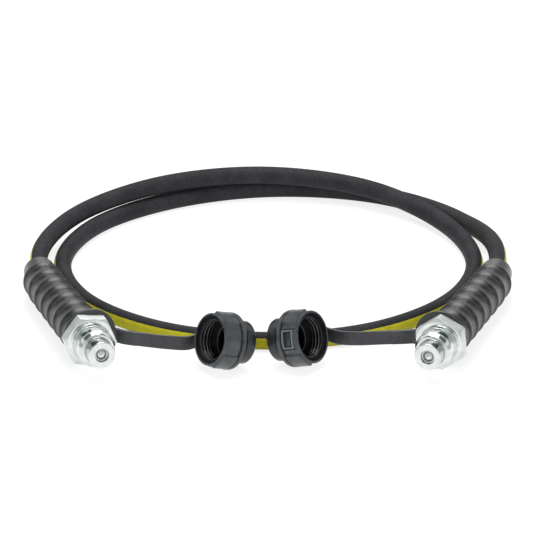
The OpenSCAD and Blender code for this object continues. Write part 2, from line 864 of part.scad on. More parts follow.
hose_cover();
hose_braid();
hose_core();
bend_guard(LEFT);  // bend_guard_left
bend_guard(RIGHT);  // bend_guard_right
ferrule(LEFT);  // ferrule_left
ferrule(RIGHT);  // ferrule_right
hose_nipple(LEFT);  // hose_nipple_left
hose_nipple(RIGHT);  // hose_nipple_right
coupler_body(LEFT);  // coupler_body_left
coupler_body(RIGHT);  // coupler_body_right
check_ball(LEFT);  // check_ball_left
check_ball(RIGHT);  // check_ball_right
ball_spring(LEFT);  // ball_spring_left
ball_spring(RIGHT);  // ball_spring_right
spring_stop(LEFT);  // spring_stop_left
spring_stop(RIGHT);  // spring_stop_right
retaining_ring(LEFT);  // retaining_ring_left
retaining_ring(RIGHT);  // retaining_ring_right
strap(LEFT, cap_left, -1, band_left);  // strap_left
strap(RIGHT, cap_right, 1, band_right);  // strap_right
dust_cap(cap_left, -1, cap_roll_left);  // dust_cap_left
dust_cap(cap_right, 1, cap_roll_right);  // dust_cap_right
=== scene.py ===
"""Looks of a hydraulic hose assembly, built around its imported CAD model.

The hose, bend guards, straps, springs, coupler bodies and dust caps are modelled here in full;
the other nodes keep their CAD meshes and get a finish. Shapes are made in millimetres and
placed in the part's own frame, in metres, as their last step.

Lengths are in millimetres and angles in degrees where nothing else is said. In the names of
sizes r is a radius, d a diameter and len a length, and at, from, to, start and end are places
along the axis: distances behind a coupler's nose face, or heights over the middle of a dust
cap's flange towards its mouth.
"""

import logging
import math
from collections.abc import Callable
from dataclasses import dataclass, field
from enum import Enum

import bmesh
import bpy
from mathutils import Matrix, Vector


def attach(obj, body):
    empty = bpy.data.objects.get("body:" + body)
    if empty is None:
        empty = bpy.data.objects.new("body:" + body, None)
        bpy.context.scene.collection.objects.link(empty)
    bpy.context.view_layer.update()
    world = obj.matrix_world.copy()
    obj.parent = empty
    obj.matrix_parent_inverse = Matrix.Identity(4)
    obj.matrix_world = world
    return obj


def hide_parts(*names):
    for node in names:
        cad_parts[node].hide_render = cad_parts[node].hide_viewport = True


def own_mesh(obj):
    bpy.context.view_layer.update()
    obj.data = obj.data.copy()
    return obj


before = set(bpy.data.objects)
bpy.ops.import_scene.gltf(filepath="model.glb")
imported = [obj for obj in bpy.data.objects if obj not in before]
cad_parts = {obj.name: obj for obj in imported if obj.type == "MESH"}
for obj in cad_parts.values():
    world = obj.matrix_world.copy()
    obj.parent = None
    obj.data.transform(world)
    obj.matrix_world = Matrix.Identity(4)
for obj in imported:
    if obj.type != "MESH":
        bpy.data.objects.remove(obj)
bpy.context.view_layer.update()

MM = 0.001
TO_METRES = Matrix.Scale(MM, 4)
UP = Vector((0, 0, 1))
ROOT_BODY = "hose_and_fittings"
log = logging.getLogger("hose_assembly")

Point = tuple[float, float, float]
Colour = tuple[float, float, float]
Span = tuple[float, float]
Placer = Callable[[float, int], Vector]


class Side(Enum):
    """The two ends of the assembly, seen from in front of the noses."""

    LEFT = "left"
    RIGHT = "right"

    @property
    def sign(self) -> int:
        """Which way this side lies along X."""
        return -1 if self is Side.LEFT else 1

    def node(self, kind: str) -> str:
        """Name of this side's node of a kind, such as dust_cap."""
        return f"{kind}_{self.value}"


class Slot(Enum):
    """Material slots of the record."""

    HOSE = "hose_rubber"
    BRAID = "wire_braid"
    TUBE = "inner_tube"
    GUARD = "guard_rubber"
    PLATED = "plated_steel"
    ZINC = "bright_zinc"
    BALL = "bearing_steel"
    SPRING = "spring_steel"
    STRAP = "strap_rubber"
    CAP = "cap_plastic"


def clamp(value: float) -> float:
    """A value kept between 0 and 1."""
    return min(max(value, 0.0), 1.0)


def toned(colour: Colour, factor: float) -> Colour:
    """A colour made lighter or darker by a factor."""
    return tuple(part * factor for part in colour)


# ---- shader tools -----------------------------------------------------------------------


class Value:
    """A number or colour that a shader node puts out, with arithmetic on it."""

    def __init__(self, graph: "Graph", socket: bpy.types.NodeSocket) -> None:
        """Wraps a socket of a graph."""
        self.graph = graph
        self.socket = socket

    def _math(self, operation: str, first: object, second: object = 0.0) -> "Value":
        """Adds a Math node and returns what it puts out."""
        made = self.graph.node("ShaderNodeMath", {"operation": operation}, {0: first, 1: second})
        return Value(self.graph, made.outputs[0])

    def __add__(self, other: object) -> "Value":
        """Sum."""
        return self._math("ADD", self, other)

    __radd__ = __add__

    def __mul__(self, other: object) -> "Value":
        """Product."""
        return self._math("MULTIPLY", self, other)

    __rmul__ = __mul__

    def __sub__(self, other: object) -> "Value":
        """Difference."""
        return self._math("SUBTRACT", self, other)

    def __rsub__(self, other: object) -> "Value":
        """Difference, with the wrapped value taken away."""
        return self._math("SUBTRACT", other, self)

    def __abs__(self) -> "Value":
        """Size without sign."""
        return self._math("ABSOLUTE", self)

    def fraction(self) -> "Value":
        """Part after the decimal point."""
        return self._math("FRACT", self)

    def root(self) -> "Value":
        """Square root."""
        return self._math("SQRT", self)

    def sine(self) -> "Value":
        """Sine of the value in radians."""
        return self._math("SINE", self)

    def larger(self, other: object) -> "Value":
        """The larger of two values."""
        return self._math("MAXIMUM", self, other)

    def rises(self, low: float, high: float) -> "Value":
        """Smooth rise from 0 at low to 1 at high.

        Args:
            low: Value that gives 0.
            high: Value that gives 1.

        Returns:
            The smoothed share, from 0 to 1.
        """
        made = self.graph.node(
            "ShaderNodeMapRange",
            {"interpolation_type": "SMOOTHSTEP"},
            {"Value": self, "From Min": low, "From Max": high},
        )
        return Value(self.graph, made.outputs["Result"])

    def falls(self, low: float, high: float) -> "Value":
        """Smooth fall from 1 at low to 0 at high."""
        return 1.0 - self.rises(low, high)

    def between(self, start: Span, end: Span) -> "Value":
        """Smooth rise over one stretch and fall over a later one."""
        return self.rises(*start) * self.falls(*end)


class Graph:
    """Node tree of one material or of the world, with one method that adds any node."""

    def __init__(self, owner: bpy.types.ID, turn: Matrix = TO_METRES) -> None:
        """Empties a node tree.

        Args:
            owner: The material or world.
            turn: Placing matrix of the piece whose directions its patterns follow.
        """
        owner.use_nodes = True
        self.turn = turn
        self.tree = owner.node_tree
        self.tree.nodes.clear()

    def node(
        self, kind: str, settings: dict | None = None, sockets: dict | None = None
    ) -> bpy.types.Node:
        """Adds a node, with its settings made first and its sockets filled after.

        Args:
            kind: The node's type name.
            settings: The node's properties.
            sockets: Input names or numbers, each with a number, colour, Value or socket.

        Returns:
            The new node.
        """
        made = self.tree.nodes.new(kind)
        for name, value in (settings or {}).items():
            setattr(made, name, value)
        for name, value in (sockets or {}).items():
            self.put(made.inputs[name], value)
        return made

    def put(self, socket: bpy.types.NodeSocket, value: object) -> None:
        """Links a value to a socket, or sets the socket's own number or colour.

        Args:
            socket: The input to fill.
            value: A Value, another socket, a number, or a colour of three numbers.
        """
        if isinstance(value, Value):
            self.tree.links.new(value.socket, socket)
        elif isinstance(value, bpy.types.NodeSocket):
            self.tree.links.new(value, socket)
        elif isinstance(value, tuple) and socket.type == "RGBA":
            socket.default_value = (*value, 1.0)
        else:
            socket.default_value = value

    def place(self) -> bpy.types.NodeSocket:
        """Object coordinates in the piece's own directions.

        Returns:
            The vector socket, in millimetres.
        """
        back = self.turn.inverted()
        mapping = self.node(
            "ShaderNodeMapping",
            {"vector_type": "POINT"},
            {
                "Vector": self.node("ShaderNodeTexCoord").outputs["Object"],
                "Location": tuple(back.translation),
                "Rotation": tuple(back.to_euler()),
                "Scale": (1 / MM, 1 / MM, 1 / MM),
            },
        )
        return mapping.outputs["Vector"]

    def parts(self, vector: bpy.types.NodeSocket) -> tuple[Value, Value, Value]:
        """The three numbers of a vector."""
        split = self.node("ShaderNodeSeparateXYZ", None, {"Vector": vector})
        return tuple(Value(self, out) for out in split.outputs)

    def own_map(self) -> tuple[Value, Value]:
        """Shares round and along a piece, from its own UV map."""
        uv = self.node("ShaderNodeUVMap", {"uv_map": "UVMap"}).outputs["UV"]
        return self.parts(uv)[:2]

    def strands(
        self, around: Value, along: Value, turns: float, count: int
    ) -> tuple[Value, Value]:
        """Waves of two sets of strands that wind round a tube in opposite directions.

        Args:
            around: Share round the tube.
            along: Share along the tube.
            turns: Turns of a strand while the map runs out along the tube and back inside.
            count: Strands in each set.

        Returns:
            One wave for each set, from -1 to 1.
        """
        wound = along * turns
        waves = 2 * math.pi * count
        return ((around + wound) * waves).sine(), ((around - wound) * waves).sine()

    def noise(self, vector: bpy.types.NodeSocket, size: float, detail: float = 3.0) -> Value:
        """Soft noise with patches about a size across and a number of finer layers."""
        made = self.node(
            "ShaderNodeTexNoise",
            {"noise_dimensions": "3D"},
            {"Vector": vector, "Scale": 1 / size, "Detail": detail},
        )
        return Value(self, made.outputs[0])

    def mix(self, share: object, first: object, second: object) -> Value:
        """Blend of two colours, where a share of 1 gives the second."""
        made = self.node("ShaderNodeMix", {"data_type": "RGBA"}, {0: share, 6: first, 7: second})
        return Value(self, made.outputs[2])

    def bump(self, height: Value, depth: float, strength: float = 1.0) -> Value:
        """Normal of a surface whose height changes, where 1 stands for a depth."""
        made = self.node(
            "ShaderNodeBump",
            None,
            {"Height": height, "Distance": depth * MM, "Strength": strength},
        )
        return Value(self, made.outputs["Normal"])

    def principled(self, **sockets: object) -> bpy.types.NodeSocket:
        """Principled shader; its inputs are given with underscores for spaces."""
        named = {name.replace("_", " "): value for name, value in sockets.items()}
        return self.node("ShaderNodeBsdfPrincipled", None, named).outputs[0]

    def diffuse(self, level: float) -> bpy.types.NodeSocket:
        """Matt grey shader."""
        grey = {"Color": (level, level, level)}
        return self.node("ShaderNodeBsdfDiffuse", None, grey).outputs[0]

    def blend(
        self, share: Value, first: bpy.types.NodeSocket, second: bpy.types.NodeSocket
    ) -> bpy.types.NodeSocket:
        """Mix of two shaders, where a share of 1 gives the second."""
        return self.node("ShaderNodeMixShader", None, {0: share, 1: first, 2: second}).outputs[0]

    def finish(self, shader: bpy.types.NodeSocket) -> None:
        """Ends the material in a shader."""
        self.node("ShaderNodeOutputMaterial", None, {"Surface": shader})

    def surface(self, **sockets: object) -> None:
        """Ends the material in one Principled shader, given its inputs."""
        self.finish(self.principled(**sockets))


# ---- finishes ---------------------------------------------------------------------------


@dataclass(frozen=True)
class Finish:
    """A surface finish: it makes one material and puts it on pieces.

    Attributes:
        slot: Record slot that the finish stands for.
        base: Base colour, linear.
        roughness: Mean roughness.
    """

    slot: Slot
    base: Colour
    roughness: float

    def shade(self, graph: Graph) -> None:
        """Builds the nodes in a material's graph; each kind of finish has its own."""
        raise NotImplementedError

    def dress(self, piece: bpy.types.Object, turn: Matrix = TO_METRES) -> None:
        """Gives a piece or a CAD node this finish.

        Args:
            piece: The object to dress.
            turn: The piece's placing matrix, for a pattern that follows its own axis.
        """
        material = bpy.data.materials.new(f"{self.slot.value}_on_{piece.name}")
        self.shade(Graph(material, turn))
        material.diffuse_color = (*self.base, 1.0)
        piece.data.materials.clear()
        piece.data.materials.append(material)


@dataclass(frozen=True)
class HoseCover(Finish):
    """Wrapped rubber cover with a printed lay line along the outside of the coil.

    Attributes:
        line_middle: Middle of the line round the hose, as a share of a turn.
        line_half: Half the line's width, as a share of a turn.
        line_soft: How far the line's edges fade, as a share of a turn.
        wraps: Strands of the wrap's print in each direction.
    """

    slot: Slot = Slot.HOSE
    base: Colour = (0.0208, 0.0212, 0.0234)
    roughness: float = 0.55
    line_colour: Colour = (0.62, 0.57, 0.029)
    line_middle: float = -15 / 360
    line_half: float = 50 / 360
    line_soft: float = 0.004
    wraps: int = 26
    length: float = 1754.0
    diameter: float = 13.0

    def shade(self, graph: Graph) -> None:
        """Rubber with a wrap pattern, pores and scuffs, and the worn lay line.

        Args:
            graph: The material's graph.
        """
        around, along = graph.own_map()
        turns = 2 * self.length / (math.pi * self.diameter)
        first, second = graph.strands(around, along, turns, self.wraps)
        place = graph.place()
        grain = graph.noise(place, 0.7, 4.0)
        pore = graph.noise(place, 2.0)
        streak = graph.noise(place, 5.0, 5.0)
        edge = graph.noise(place, 9.0, 2.0)
        cloud = graph.noise(place, 22.0)
        from_line = abs((around + (0.5 - self.line_middle)).fraction() - 0.5)
        inside = from_line.falls(self.line_half - self.line_soft, self.line_half + self.line_soft)
        worn = streak.rises(0.70, 0.78) * edge.rises(0.45, 0.6)
        rubber = graph.mix(cloud.rises(0.35, 0.7), self.base, toned(self.base, 1.55))
        rubber = graph.mix(streak.rises(0.55, 0.75) * 0.35, rubber, toned(self.base, 2.4))
        rubber = graph.mix(pore.falls(0.36, 0.60) * 0.3, rubber, toned(self.base, 0.4))
        paint = graph.mix(streak.rises(0.3, 0.7), toned(self.line_colour, 0.86), self.line_colour)
        graph.surface(
            Base_Color=graph.mix(inside * (1.0 - worn * 0.5), rubber, paint),
            Roughness=self.roughness + 0.12 * cloud - 0.05 * inside,
            Specular_IOR_Level=0.13,
            Normal=graph.bump(first * 0.25 + second * 0.25 + grain + 0.5 * pore, 0.12, 0.5),
        )


@dataclass(frozen=True)
class WireBraid(Finish):
    """Braided wire: two sets of strands that cross at an angle.

    Attributes:
        steepness: Length that a strand's turn takes, in girths of the tube.
        count: Strands in each direction.
        gap: Colour between the wires.
    """

    slot: Slot = Slot.BRAID
    base: Colour = (0.52, 0.44, 0.26)
    roughness: float = 0.32
    length: float = 1754.0
    diameter: float = 10.4
    steepness: float = 1.4
    count: int = 24
    gap: Colour = (0.12, 0.10, 0.07)

    def shade(self, graph: Graph) -> None:
        """Crossing strands on the tube's own map.

        Args:
            graph: The material's graph.
        """
        around, along = graph.own_map()
        turns = 2 * self.length / (math.pi * self.diameter * self.steepness)
        first, second = graph.strands(around, along, turns, self.count)
        height = first.larger(second)
        graph.surface(
            Base_Color=graph.mix(height.rises(-0.4, 0.5), self.gap, self.base),
            Metallic=1.0,
            Roughness=self.roughness + 0.1 * height,
            Normal=graph.bump(height, 0.12),
        )


@dataclass(frozen=True)
class MouldedRubber(Finish):
    """Moulded rubber with a fine skin and a faint bloom in patches.

    Attributes:
        bloom: Colour of the grey bloom.
        grain: Size of the skin's grain.
        depth: Depth of the grain.
        pale: Stretch of the piece's own map drawn paler as a painted sheen, if any.
    """

    bloom: Colour
    grain: float = 0.5
    depth: float = 0.05
    gloss: float = 0.4
    pale: Span | None = None

    def shade(self, graph: Graph) -> None:
        """Grain, bloom, dark pores and the stretch with painted sheen.

        Args:
            graph: The material's graph.
        """
        place = graph.place()
        grain = graph.noise(place, self.grain, 4.0)
        patch = graph.noise(place, 14.0, 4.0)
        speck = graph.noise(place, 1.6, 5.0)
        colour = graph.mix(patch.rises(0.42, 0.72) * 0.5, self.base, self.bloom)
        colour = graph.mix(speck.rises(0.56, 0.72) * 0.4, colour, self.bloom)
        colour = graph.mix(speck.falls(0.30, 0.46) * 0.6, colour, toned(self.base, 0.4))
        # Painted sheen: the pale stretch stands in for light on the smooth collar that faces up.
        if self.pale:
            start, end = self.pale
            _, along = graph.own_map()
            band = along.between((start - 0.004, start + 0.008), (end, end + 0.01))
            colour = graph.mix(band * 0.8, colour, toned(self.bloom, 1.95))
        graph.surface(
            Base_Color=colour,
            Roughness=self.roughness + 0.18 * (patch - 0.5) + 0.1 * (speck - 0.5),
            Specular_IOR_Level=self.gloss,
            Normal=graph.bump(grain + 0.5 * speck, self.depth, 0.6),
        )


@dataclass(frozen=True)
class TurnedZinc(Finish):
    """Bright plate over turned steel: rings of tool marks around the piece's own axis.

    Attributes:
        tint: Colour that the plate drifts to in patches.
        recess_shade_colour: Colour of the painted shade in the recess round the ball.
        wear_and_shade: Colour of the nose's side, drawn darker as painted shade.
        pitch: Spacing of the tool marks.
        depth: Depth of the marks.
        recess_depth: Depths between which the painted shade fades out.
        ball_edge: Squares of the distances from the axis between which the painted shade fades in.
        recess_edge: Squares of the distances between which it fades out again.
        hex_edge: Squares of the distances between which the hexagon turns duller.
        hex_dulled: What its sides add to the roughness.
    """

    slot: Slot = Slot.ZINC
    base: Colour = (0.75, 0.78, 0.75)
    roughness: float = 0.13
    tint: Colour = (0.62, 0.66, 0.66)
    recess_shade_colour: Colour = (0.28, 0.29, 0.29)
    wear_and_shade: Colour = (0.44, 0.46, 0.46)
    pitch: float = 0.22
    depth: float = 0.006
    recess_depth: Span = (3.2, 2.8)
    ball_edge: Span = (22.5, 24.0)
    recess_edge: Span = (26.8, 28.2)
    hex_edge: Span = (300.0, 304.0)
    hex_dulled: float = 0.34

    def shade(self, graph: Graph) -> None:
        """Metal with turning marks, uneven plating, and painted shade on the nose's side and in its
        recess.

        Args:
            graph: The material's graph.
        """
        place = graph.place()
        x, y, along = graph.parts(place)
        cloud = graph.noise(place, 7.0)
        fine = graph.noise(place, 0.9, 4.0)
        marks = ((along + 0.02 * fine) * (2 * math.pi / self.pitch)).sine()
        square = x * x + y * y
        deep, shallow = self.recess_depth
        # Painted shade: a dark ring on the recess wall round the ball, where shade falls.
        recess_shade = along.rises(-deep, -shallow) * square.between(self.ball_edge, self.recess_edge)
        plate = graph.mix(cloud.rises(0.3, 0.75), self.base, self.tint)
        # Painted shade: the nose's side is drawn darker than the rest of the plate.
        nose = along.between((-11.0, -10.8), (-1.4, -0.6))
        plate = graph.mix(nose * 0.85, plate, self.wear_and_shade)
        dulled = self.hex_dulled * square.rises(*self.hex_edge)
        graph.surface(
            Base_Color=graph.mix(recess_shade * 0.85, plate, self.recess_shade_colour),
            Metallic=1.0,
            Roughness=self.roughness + 0.08 * (cloud - 0.4) + 0.04 * fine + dulled,
            Normal=graph.bump(marks * 0.5 + fine * 0.4, self.depth, 0.25),
        )


@dataclass(frozen=True)
class PlainSteel(Finish):
    """Plated, spring or bearing steel with handling marks.

    Attributes:
        stain: Colour of the dull patches.
        scuff: Depth of the marks.
        patch: Size of the dull patches.
    """

    stain: Colour = (0.42, 0.41, 0.39)
    scuff: float = 0.01
    patch: float = 4.0

    def shade(self, graph: Graph) -> None:
        """Metal with dull patches and fine scratches.

        Args:
            graph: The material's graph.
        """
        place = graph.place()
        cloud = graph.noise(place, self.patch, 4.0)
        fine = graph.noise(place, 0.4, 4.0)
        graph.surface(
            Base_Color=graph.mix(cloud.rises(0.45, 0.65) * 0.7, self.base, self.stain),
            Metallic=1.0,
            Roughness=self.roughness + 0.15 * (cloud - 0.4),
            Normal=graph.bump(fine + cloud, self.scuff, 0.5),
        )


@dataclass(frozen=True)
class CapSizes:
    """Sizes that the dust caps' shape and finish share.

    Attributes:
        crest_r: Radius of the thread's crests.
        pocket_r: Radius of the pocket that takes the nose.
        panel_half_w: Half the width of the framed panel, round the skirt.
        panel_low: Height of the panel's lower side.
        panel_high: Height of its upper side.
        panel_rim: Width of its raised rim.
    """

    skirt_r: float = 19.3
    mouth_r: float = 17.5
    crest_r: float = 14.5
    pocket_r: float = 10.3
    pocket_end: float = -11.2
    panel_half_w: float = 7.0
    panel_low: float = 2.8
    panel_high: float = 12.4
    panel_rim: float = 1.2


CAP = CapSizes()


@dataclass(frozen=True)
class MouldedPlastic(Finish):
    """Satin moulded plastic with flow marks, a framed panel and painted shade inside.

    Attributes:
        wear_and_shade: Colour of the rubbed patches.
        behind: Colour of the end behind the flange, drawn near-black as painted shade.
        inside_shade: Colour of the painted shade inside the mouth and the pocket.
        crest: Colour of the thread's crests, drawn lighter as a painted highlight.
        rim: Colour of the panel's raised rim.
        hollow: Colour of the panel inside its rim.
        roll: Angle of the panel about the cap's axis.
    """

    slot: Slot = Slot.CAP
    base: Colour = (0.033, 0.036, 0.040)
    roughness: float = 0.28
    wear_and_shade: Colour = (0.080, 0.085, 0.092)
    behind: Colour = (0.011, 0.011, 0.012)
    gloss: float = 0.5
    inside_shade: Colour = (0.002, 0.002, 0.002)
    inside_shade_gloss: float = 0.07
    crest: Colour = (0.16, 0.16, 0.17)
    rim: Colour = (0.16, 0.19, 0.185)
    hollow: Colour = (0.006, 0.009, 0.009)
    roll: float = 0.0

    def panel(self, x: Value, y: Value, along: Value) -> list[Value]:
        """Masks of the panel and of what lies inside its rim.

        Args:
            x: First coordinate across the cap's axis.
            y: Second coordinate across the cap's axis.
            along: Height over the flange's middle.

        Returns:
            The two masks.
        """
        turn = math.radians(self.roll)
        facing = x * math.cos(turn) + y * math.sin(turn)
        across = abs(y * math.cos(turn) - x * math.sin(turn))
        near = facing.rises(CAP.skirt_r - 2.1, CAP.skirt_r - 1.9)
        masks = []
        for inset in (0.0, CAP.panel_rim):
            half_w = CAP.panel_half_w - inset
            low, high = CAP.panel_low + inset, CAP.panel_high - inset
            tall = along.between((low - 0.1, low + 0.1), (high - 0.1, high + 0.1))
            masks.append(near * across.falls(half_w - 0.3, half_w) * tall)
        return masks

    def shaded_inside(self, from_axis: Value, along: Value) -> Value:
        """Mask of the painted shade inside.

        Args:
            from_axis: Distance from the cap's axis.
            along: Height over the flange's middle.

        Returns:
            The mask, 1 deep inside and a little less near the mouth.
        """
        step = (1.4, 1.8)
        mouth = along.rises(*step) * from_axis.falls(CAP.mouth_r + 0.05, CAP.mouth_r + 0.25)
        pocket = along.between((CAP.pocket_end - 0.6, CAP.pocket_end - 0.2), step)
        pocket = pocket * from_axis.falls(CAP.pocket_r + 0.7, CAP.pocket_r + 1.3)
        return mouth.larger(pocket) * (0.80 + 0.20 * along.falls(6.0, 17.0))

    def shade(self, graph: Graph) -> None:
        """Satin skin outside, painted shade inside, painted highlights on the crests and the
        panel's two tones.

        Args:
            graph: The material's graph.
        """
        place = graph.place()
        x, y, along = graph.parts(place)
        from_axis = (x * x + y * y).root()
        skin = graph.noise(place, 0.35)
        flow = graph.noise(place, 9.0, 4.0)
        rub = graph.noise(place, 2.6, 6.0)
        colour = graph.mix(flow.rises(0.35, 0.7) * 0.6, self.base, self.wear_and_shade)
        colour = graph.mix(rub.rises(0.60, 0.75) * 0.35, colour, self.wear_and_shade)
        # Painted shade: the end behind the flange, where the strap's ring sits, is drawn
        # near-black, broken by light specks.
        behind_flange_shade = along.falls(-2.2, -1.2) * (1.0 - rub.rises(0.52, 0.66) * 0.7)
        colour = graph.mix(behind_flange_shade * 0.8, colour, self.behind)
        framed, hollow = self.panel(x, y, along)
        colour = graph.mix(framed * 0.9, colour, self.rim)
        colour = graph.mix(hollow * 0.9, colour, self.hollow)
        # Painted highlight: the thread's crests are drawn lighter and lift the painted shade
        # inside.
        ridge = from_axis.between(
            (CAP.crest_r - 0.5, CAP.crest_r - 0.3), (CAP.crest_r + 0.2, CAP.crest_r + 0.5)
        )
        ridge = ridge * along.rises(5.0, 7.0)
        normal = graph.bump(skin + 0.6 * rub, 0.03, 0.6)
        satin = graph.principled(
            Base_Color=graph.mix(ridge, colour, self.crest),
            Roughness=self.roughness + 0.14 * (flow - 0.5),
            Specular_IOR_Level=self.gloss,
            Normal=normal,
        )
        # Painted shade: a near-black, barely glossy shader inside the mouth and the pocket, darkest
        # deep inside.
        inside_shader = graph.principled(
            Base_Color=self.inside_shade, Roughness=0.2, Specular_IOR_Level=self.inside_shade_gloss, Normal=normal
        )
        share = self.shaded_inside(from_axis, along) * (1.0 - ridge * 0.9)
        graph.finish(graph.blend(share, satin, inside_shader))


GUARD_RUBBER = MouldedRubber(
    slot=Slot.GUARD,
    base=(0.0155, 0.0155, 0.0155),
    roughness=0.30,
    bloom=(0.040, 0.040, 0.040),
    depth=0.04,
    gloss=0.48,
    # The collar's stretch, drawn paler as a painted sheen.
    pale=(0.745, 0.855),
)
STRAP_RUBBER = MouldedRubber(
    slot=Slot.STRAP,
    base=(0.029, 0.029, 0.033),
    roughness=0.36,
    bloom=(0.066, 0.067, 0.073),
    grain=0.6,
    depth=0.03,
    gloss=0.45,
)
INNER_TUBE = MouldedRubber(Slot.TUBE, (0.012, 0.012, 0.012), 0.4, (0.03, 0.03, 0.03))
PLATED_STEEL = PlainSteel(Slot.PLATED, (0.66, 0.67, 0.66), 0.30)
BEARING_STEEL = PlainSteel(
    Slot.BALL, (0.80, 0.81, 0.82), 0.34, stain=(0.30, 0.31, 0.32), scuff=0.04, patch=1.6
)
SPRING_STEEL = PlainSteel(Slot.SPRING, (0.42, 0.42, 0.43), 0.30, stain=(0.25, 0.24, 0.23))


# ---- mesh tools -------------------------------------------------------------------------


def new_mesh() -> bmesh.types.BMesh:
    """Starts a piece's mesh.

    Returns:
        An empty bmesh with a UV map.
    """
    bm = bmesh.new()
    bm.loops.layers.uv.new("UVMap")
    return bm


def wrap(bm: bmesh.types.BMesh, around: int, along: int, place: Placer) -> None:
    """Lays a grid over a shape and closes its seams.

    Args:
        bm: Mesh that the grid is added to.
        around: Faces round the shape.
        along: Rows of faces.
        place: Point for an angle round the shape, in radians, and the number of a line of
            the grid, from 0 to the number of rows.
    """
    verts = bmesh.ops.create_grid(
        bm, x_segments=around, y_segments=along, size=1.0, calc_uvs=True
    )["verts"]
    for vert in verts:
        column = round((vert.co.x + 1) / 2 * around) % around
        line = round((vert.co.y + 1) / 2 * along)
        vert.co = place(2 * math.pi * column / around, line)
    bmesh.ops.remove_doubles(bm, verts=verts, dist=1e-4)


def polar(r: float, angle: float, z: float) -> Vector:
    """Point at a distance from the Z axis, an angle round it in radians, and a height."""
    return Vector((r * math.cos(angle), r * math.sin(angle), z))


def rounded(profile: list[Span], radius: float, steps: int = 5) -> list[Span]:
    """Rounds the inner corners of a profile.

    Args:
        profile: (radius, height) of each corner.
        radius: Largest rounding.
        steps: Points on each rounding.

    Returns:
        The profile with an arc in place of each inner corner.
    """
    out = [profile[0]]
    for before, corner, after in zip(profile, profile[1:], profile[2:]):
        p, q, r = Vector(before), Vector(corner), Vector(after)
        room = min(radius, (p - q).length * 0.45, (r - q).length * 0.45)
        if room < 0.02:
            out.append(corner)
            continue
        start, end = q + (p - q).normalized() * room, q + (r - q).normalized() * room
        for k in range(steps + 1):
            f = k / steps
            out.append(tuple(start * (1 - f) ** 2 + q * (2 * f * (1 - f)) + end * f**2))
    out.append(profile[-1])
    return out


def bead(width: float, height: float, radius: float, f: float) -> Span:
    """Point on a rectangle with rounded corners.

    Args:
        width: Width of the rectangle.
        height: Height of the rectangle.
        radius: Corner radius.
        f: Share of the way round, from 0 to 1.

    Returns:
        The point, with the rectangle's middle at the origin.
    """
    corner, rest = divmod(f % 1.0 * 4, 1.0)
    angle = math.radians(90 * (corner + clamp((rest - 0.12) / 0.76)))
    centre_x = (width / 2 - radius) * (1 if corner in (0, 3) else -1)
    centre_y = (height / 2 - radius) * (1 if corner in (0, 1) else -1)
    return centre_x + radius * math.cos(angle), centre_y + radius * math.sin(angle)


def glide(start: Vector, end: Vector, leave: Vector, arrive: Vector, f: float) -> Vector:
    """Point on a smooth curve.

    Args:
        start: Start of the curve.
        end: End of the curve.
        leave: Slope at the start.
        arrive: Slope at the end.
        f: Share of the way, from 0 to 1.

    Returns:
        The point at that share.
    """
    return (
        start * (2 * f**3 - 3 * f**2 + 1)
        + leave * (f**3 - 2 * f**2 + f)
        + end * (3 * f**2 - 2 * f**3)
        + arrive * (f**3 - f**2)
    )


def headings(path: list[Vector]) -> list[Vector]:
    """Direction at each point of a path, from its neighbours."""
    pairs = zip([path[0], *path], [*path[1:], path[-1]])
    return [(after - before).normalized() for before, after in pairs]


@dataclass(frozen=True)
class Ring:
    """Cross-section of a tube or band: its middle and its sideways and upward directions."""

    middle: Vector
    side: Vector
    up: Vector

    @classmethod
    def across(cls, middle: Vector, ahead: Vector) -> "Ring":
        """Cross-section of a line that runs ahead and never straight up."""
        side = UP.cross(ahead).normalized()
        return cls(middle, side, ahead.cross(side))

    def at(self, x: float, y: float) -> Vector:
        """Point x to the side and y up."""
        return self.middle + x * self.side + y * self.up

    def edge(self, radius: float, angle: float) -> Vector:
        """Point on a circle round the middle, at an angle in radians."""
        return self.middle + radius * (math.cos(angle) * self.side + math.sin(angle) * self.up)


def tube(walls: list[tuple[Ring, float]], sides: int) -> bmesh.types.BMesh:
    """Closed tube.

    Args:
        walls: Cross-section and radius of each line round it, out along the outside and
            back along the inside.
        sides: Faces round it.

    Returns:
        The mesh, its map running round and along the tube.
    """

    def place(angle: float, line: int) -> Vector:
        """Point of the wall at an angle and a line."""
        ring, radius = walls[line % len(walls)]
        return ring.edge(radius, angle)

    bm = new_mesh()
    wrap(bm, sides, len(walls), place)
    return bm


def show(name: str, data: bpy.types.ID) -> bpy.types.Object:
    """Puts a new object in the scene, at the world's origin.

    Args:
        name: The object's name.
        data: Its mesh, lamp or camera.

    Returns:
        The object.
    """
    made = bpy.data.objects.new(name, data)
    bpy.context.scene.collection.objects.link(made)
    return made


def add_piece(
    bm: bmesh.types.BMesh, name: str, to_frame: Matrix, sharp: float = 40.0
) -> bpy.types.Object:
    """Turns a bmesh into a finished piece at the world's origin.

    Args:
        bm: The shape in millimetres; it is freed.
        name: The piece's name.
        to_frame: Matrix that places it in the part's frame.
        sharp: Angle past which an edge stays sharp.

    Returns:
        The new object.
    """
    bmesh.ops.recalc_face_normals(bm, faces=bm.faces[:])
    for face in bm.faces:
        face.smooth = True
    mesh = bpy.data.meshes.new(name)
    bm.to_mesh(mesh)
    bm.free()
    mesh.transform(to_frame)
    mesh.set_sharp_from_angle(angle=math.radians(sharp))
    return show(name, mesh)


def stand_for(
    piece: bpy.types.Object, finish: Finish, body: str, node: str, turn: Matrix = TO_METRES
) -> None:
    """Dresses a piece and makes it ride on a body in the place of a CAD node.

    Args:
        piece: The finished piece.
        finish: Its finish.
        body: The body that it rides on.
        node: CAD node that it replaces.
        turn: Its placing matrix, for a pattern that follows its own axis.
    """
    finish.dress(piece, turn)
    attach(piece, body)
    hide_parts(node)
    log.info("%s: %d faces on %s", piece.name, len(piece.data.polygons), body)


# ---- places -----------------------------------------------------------------------------


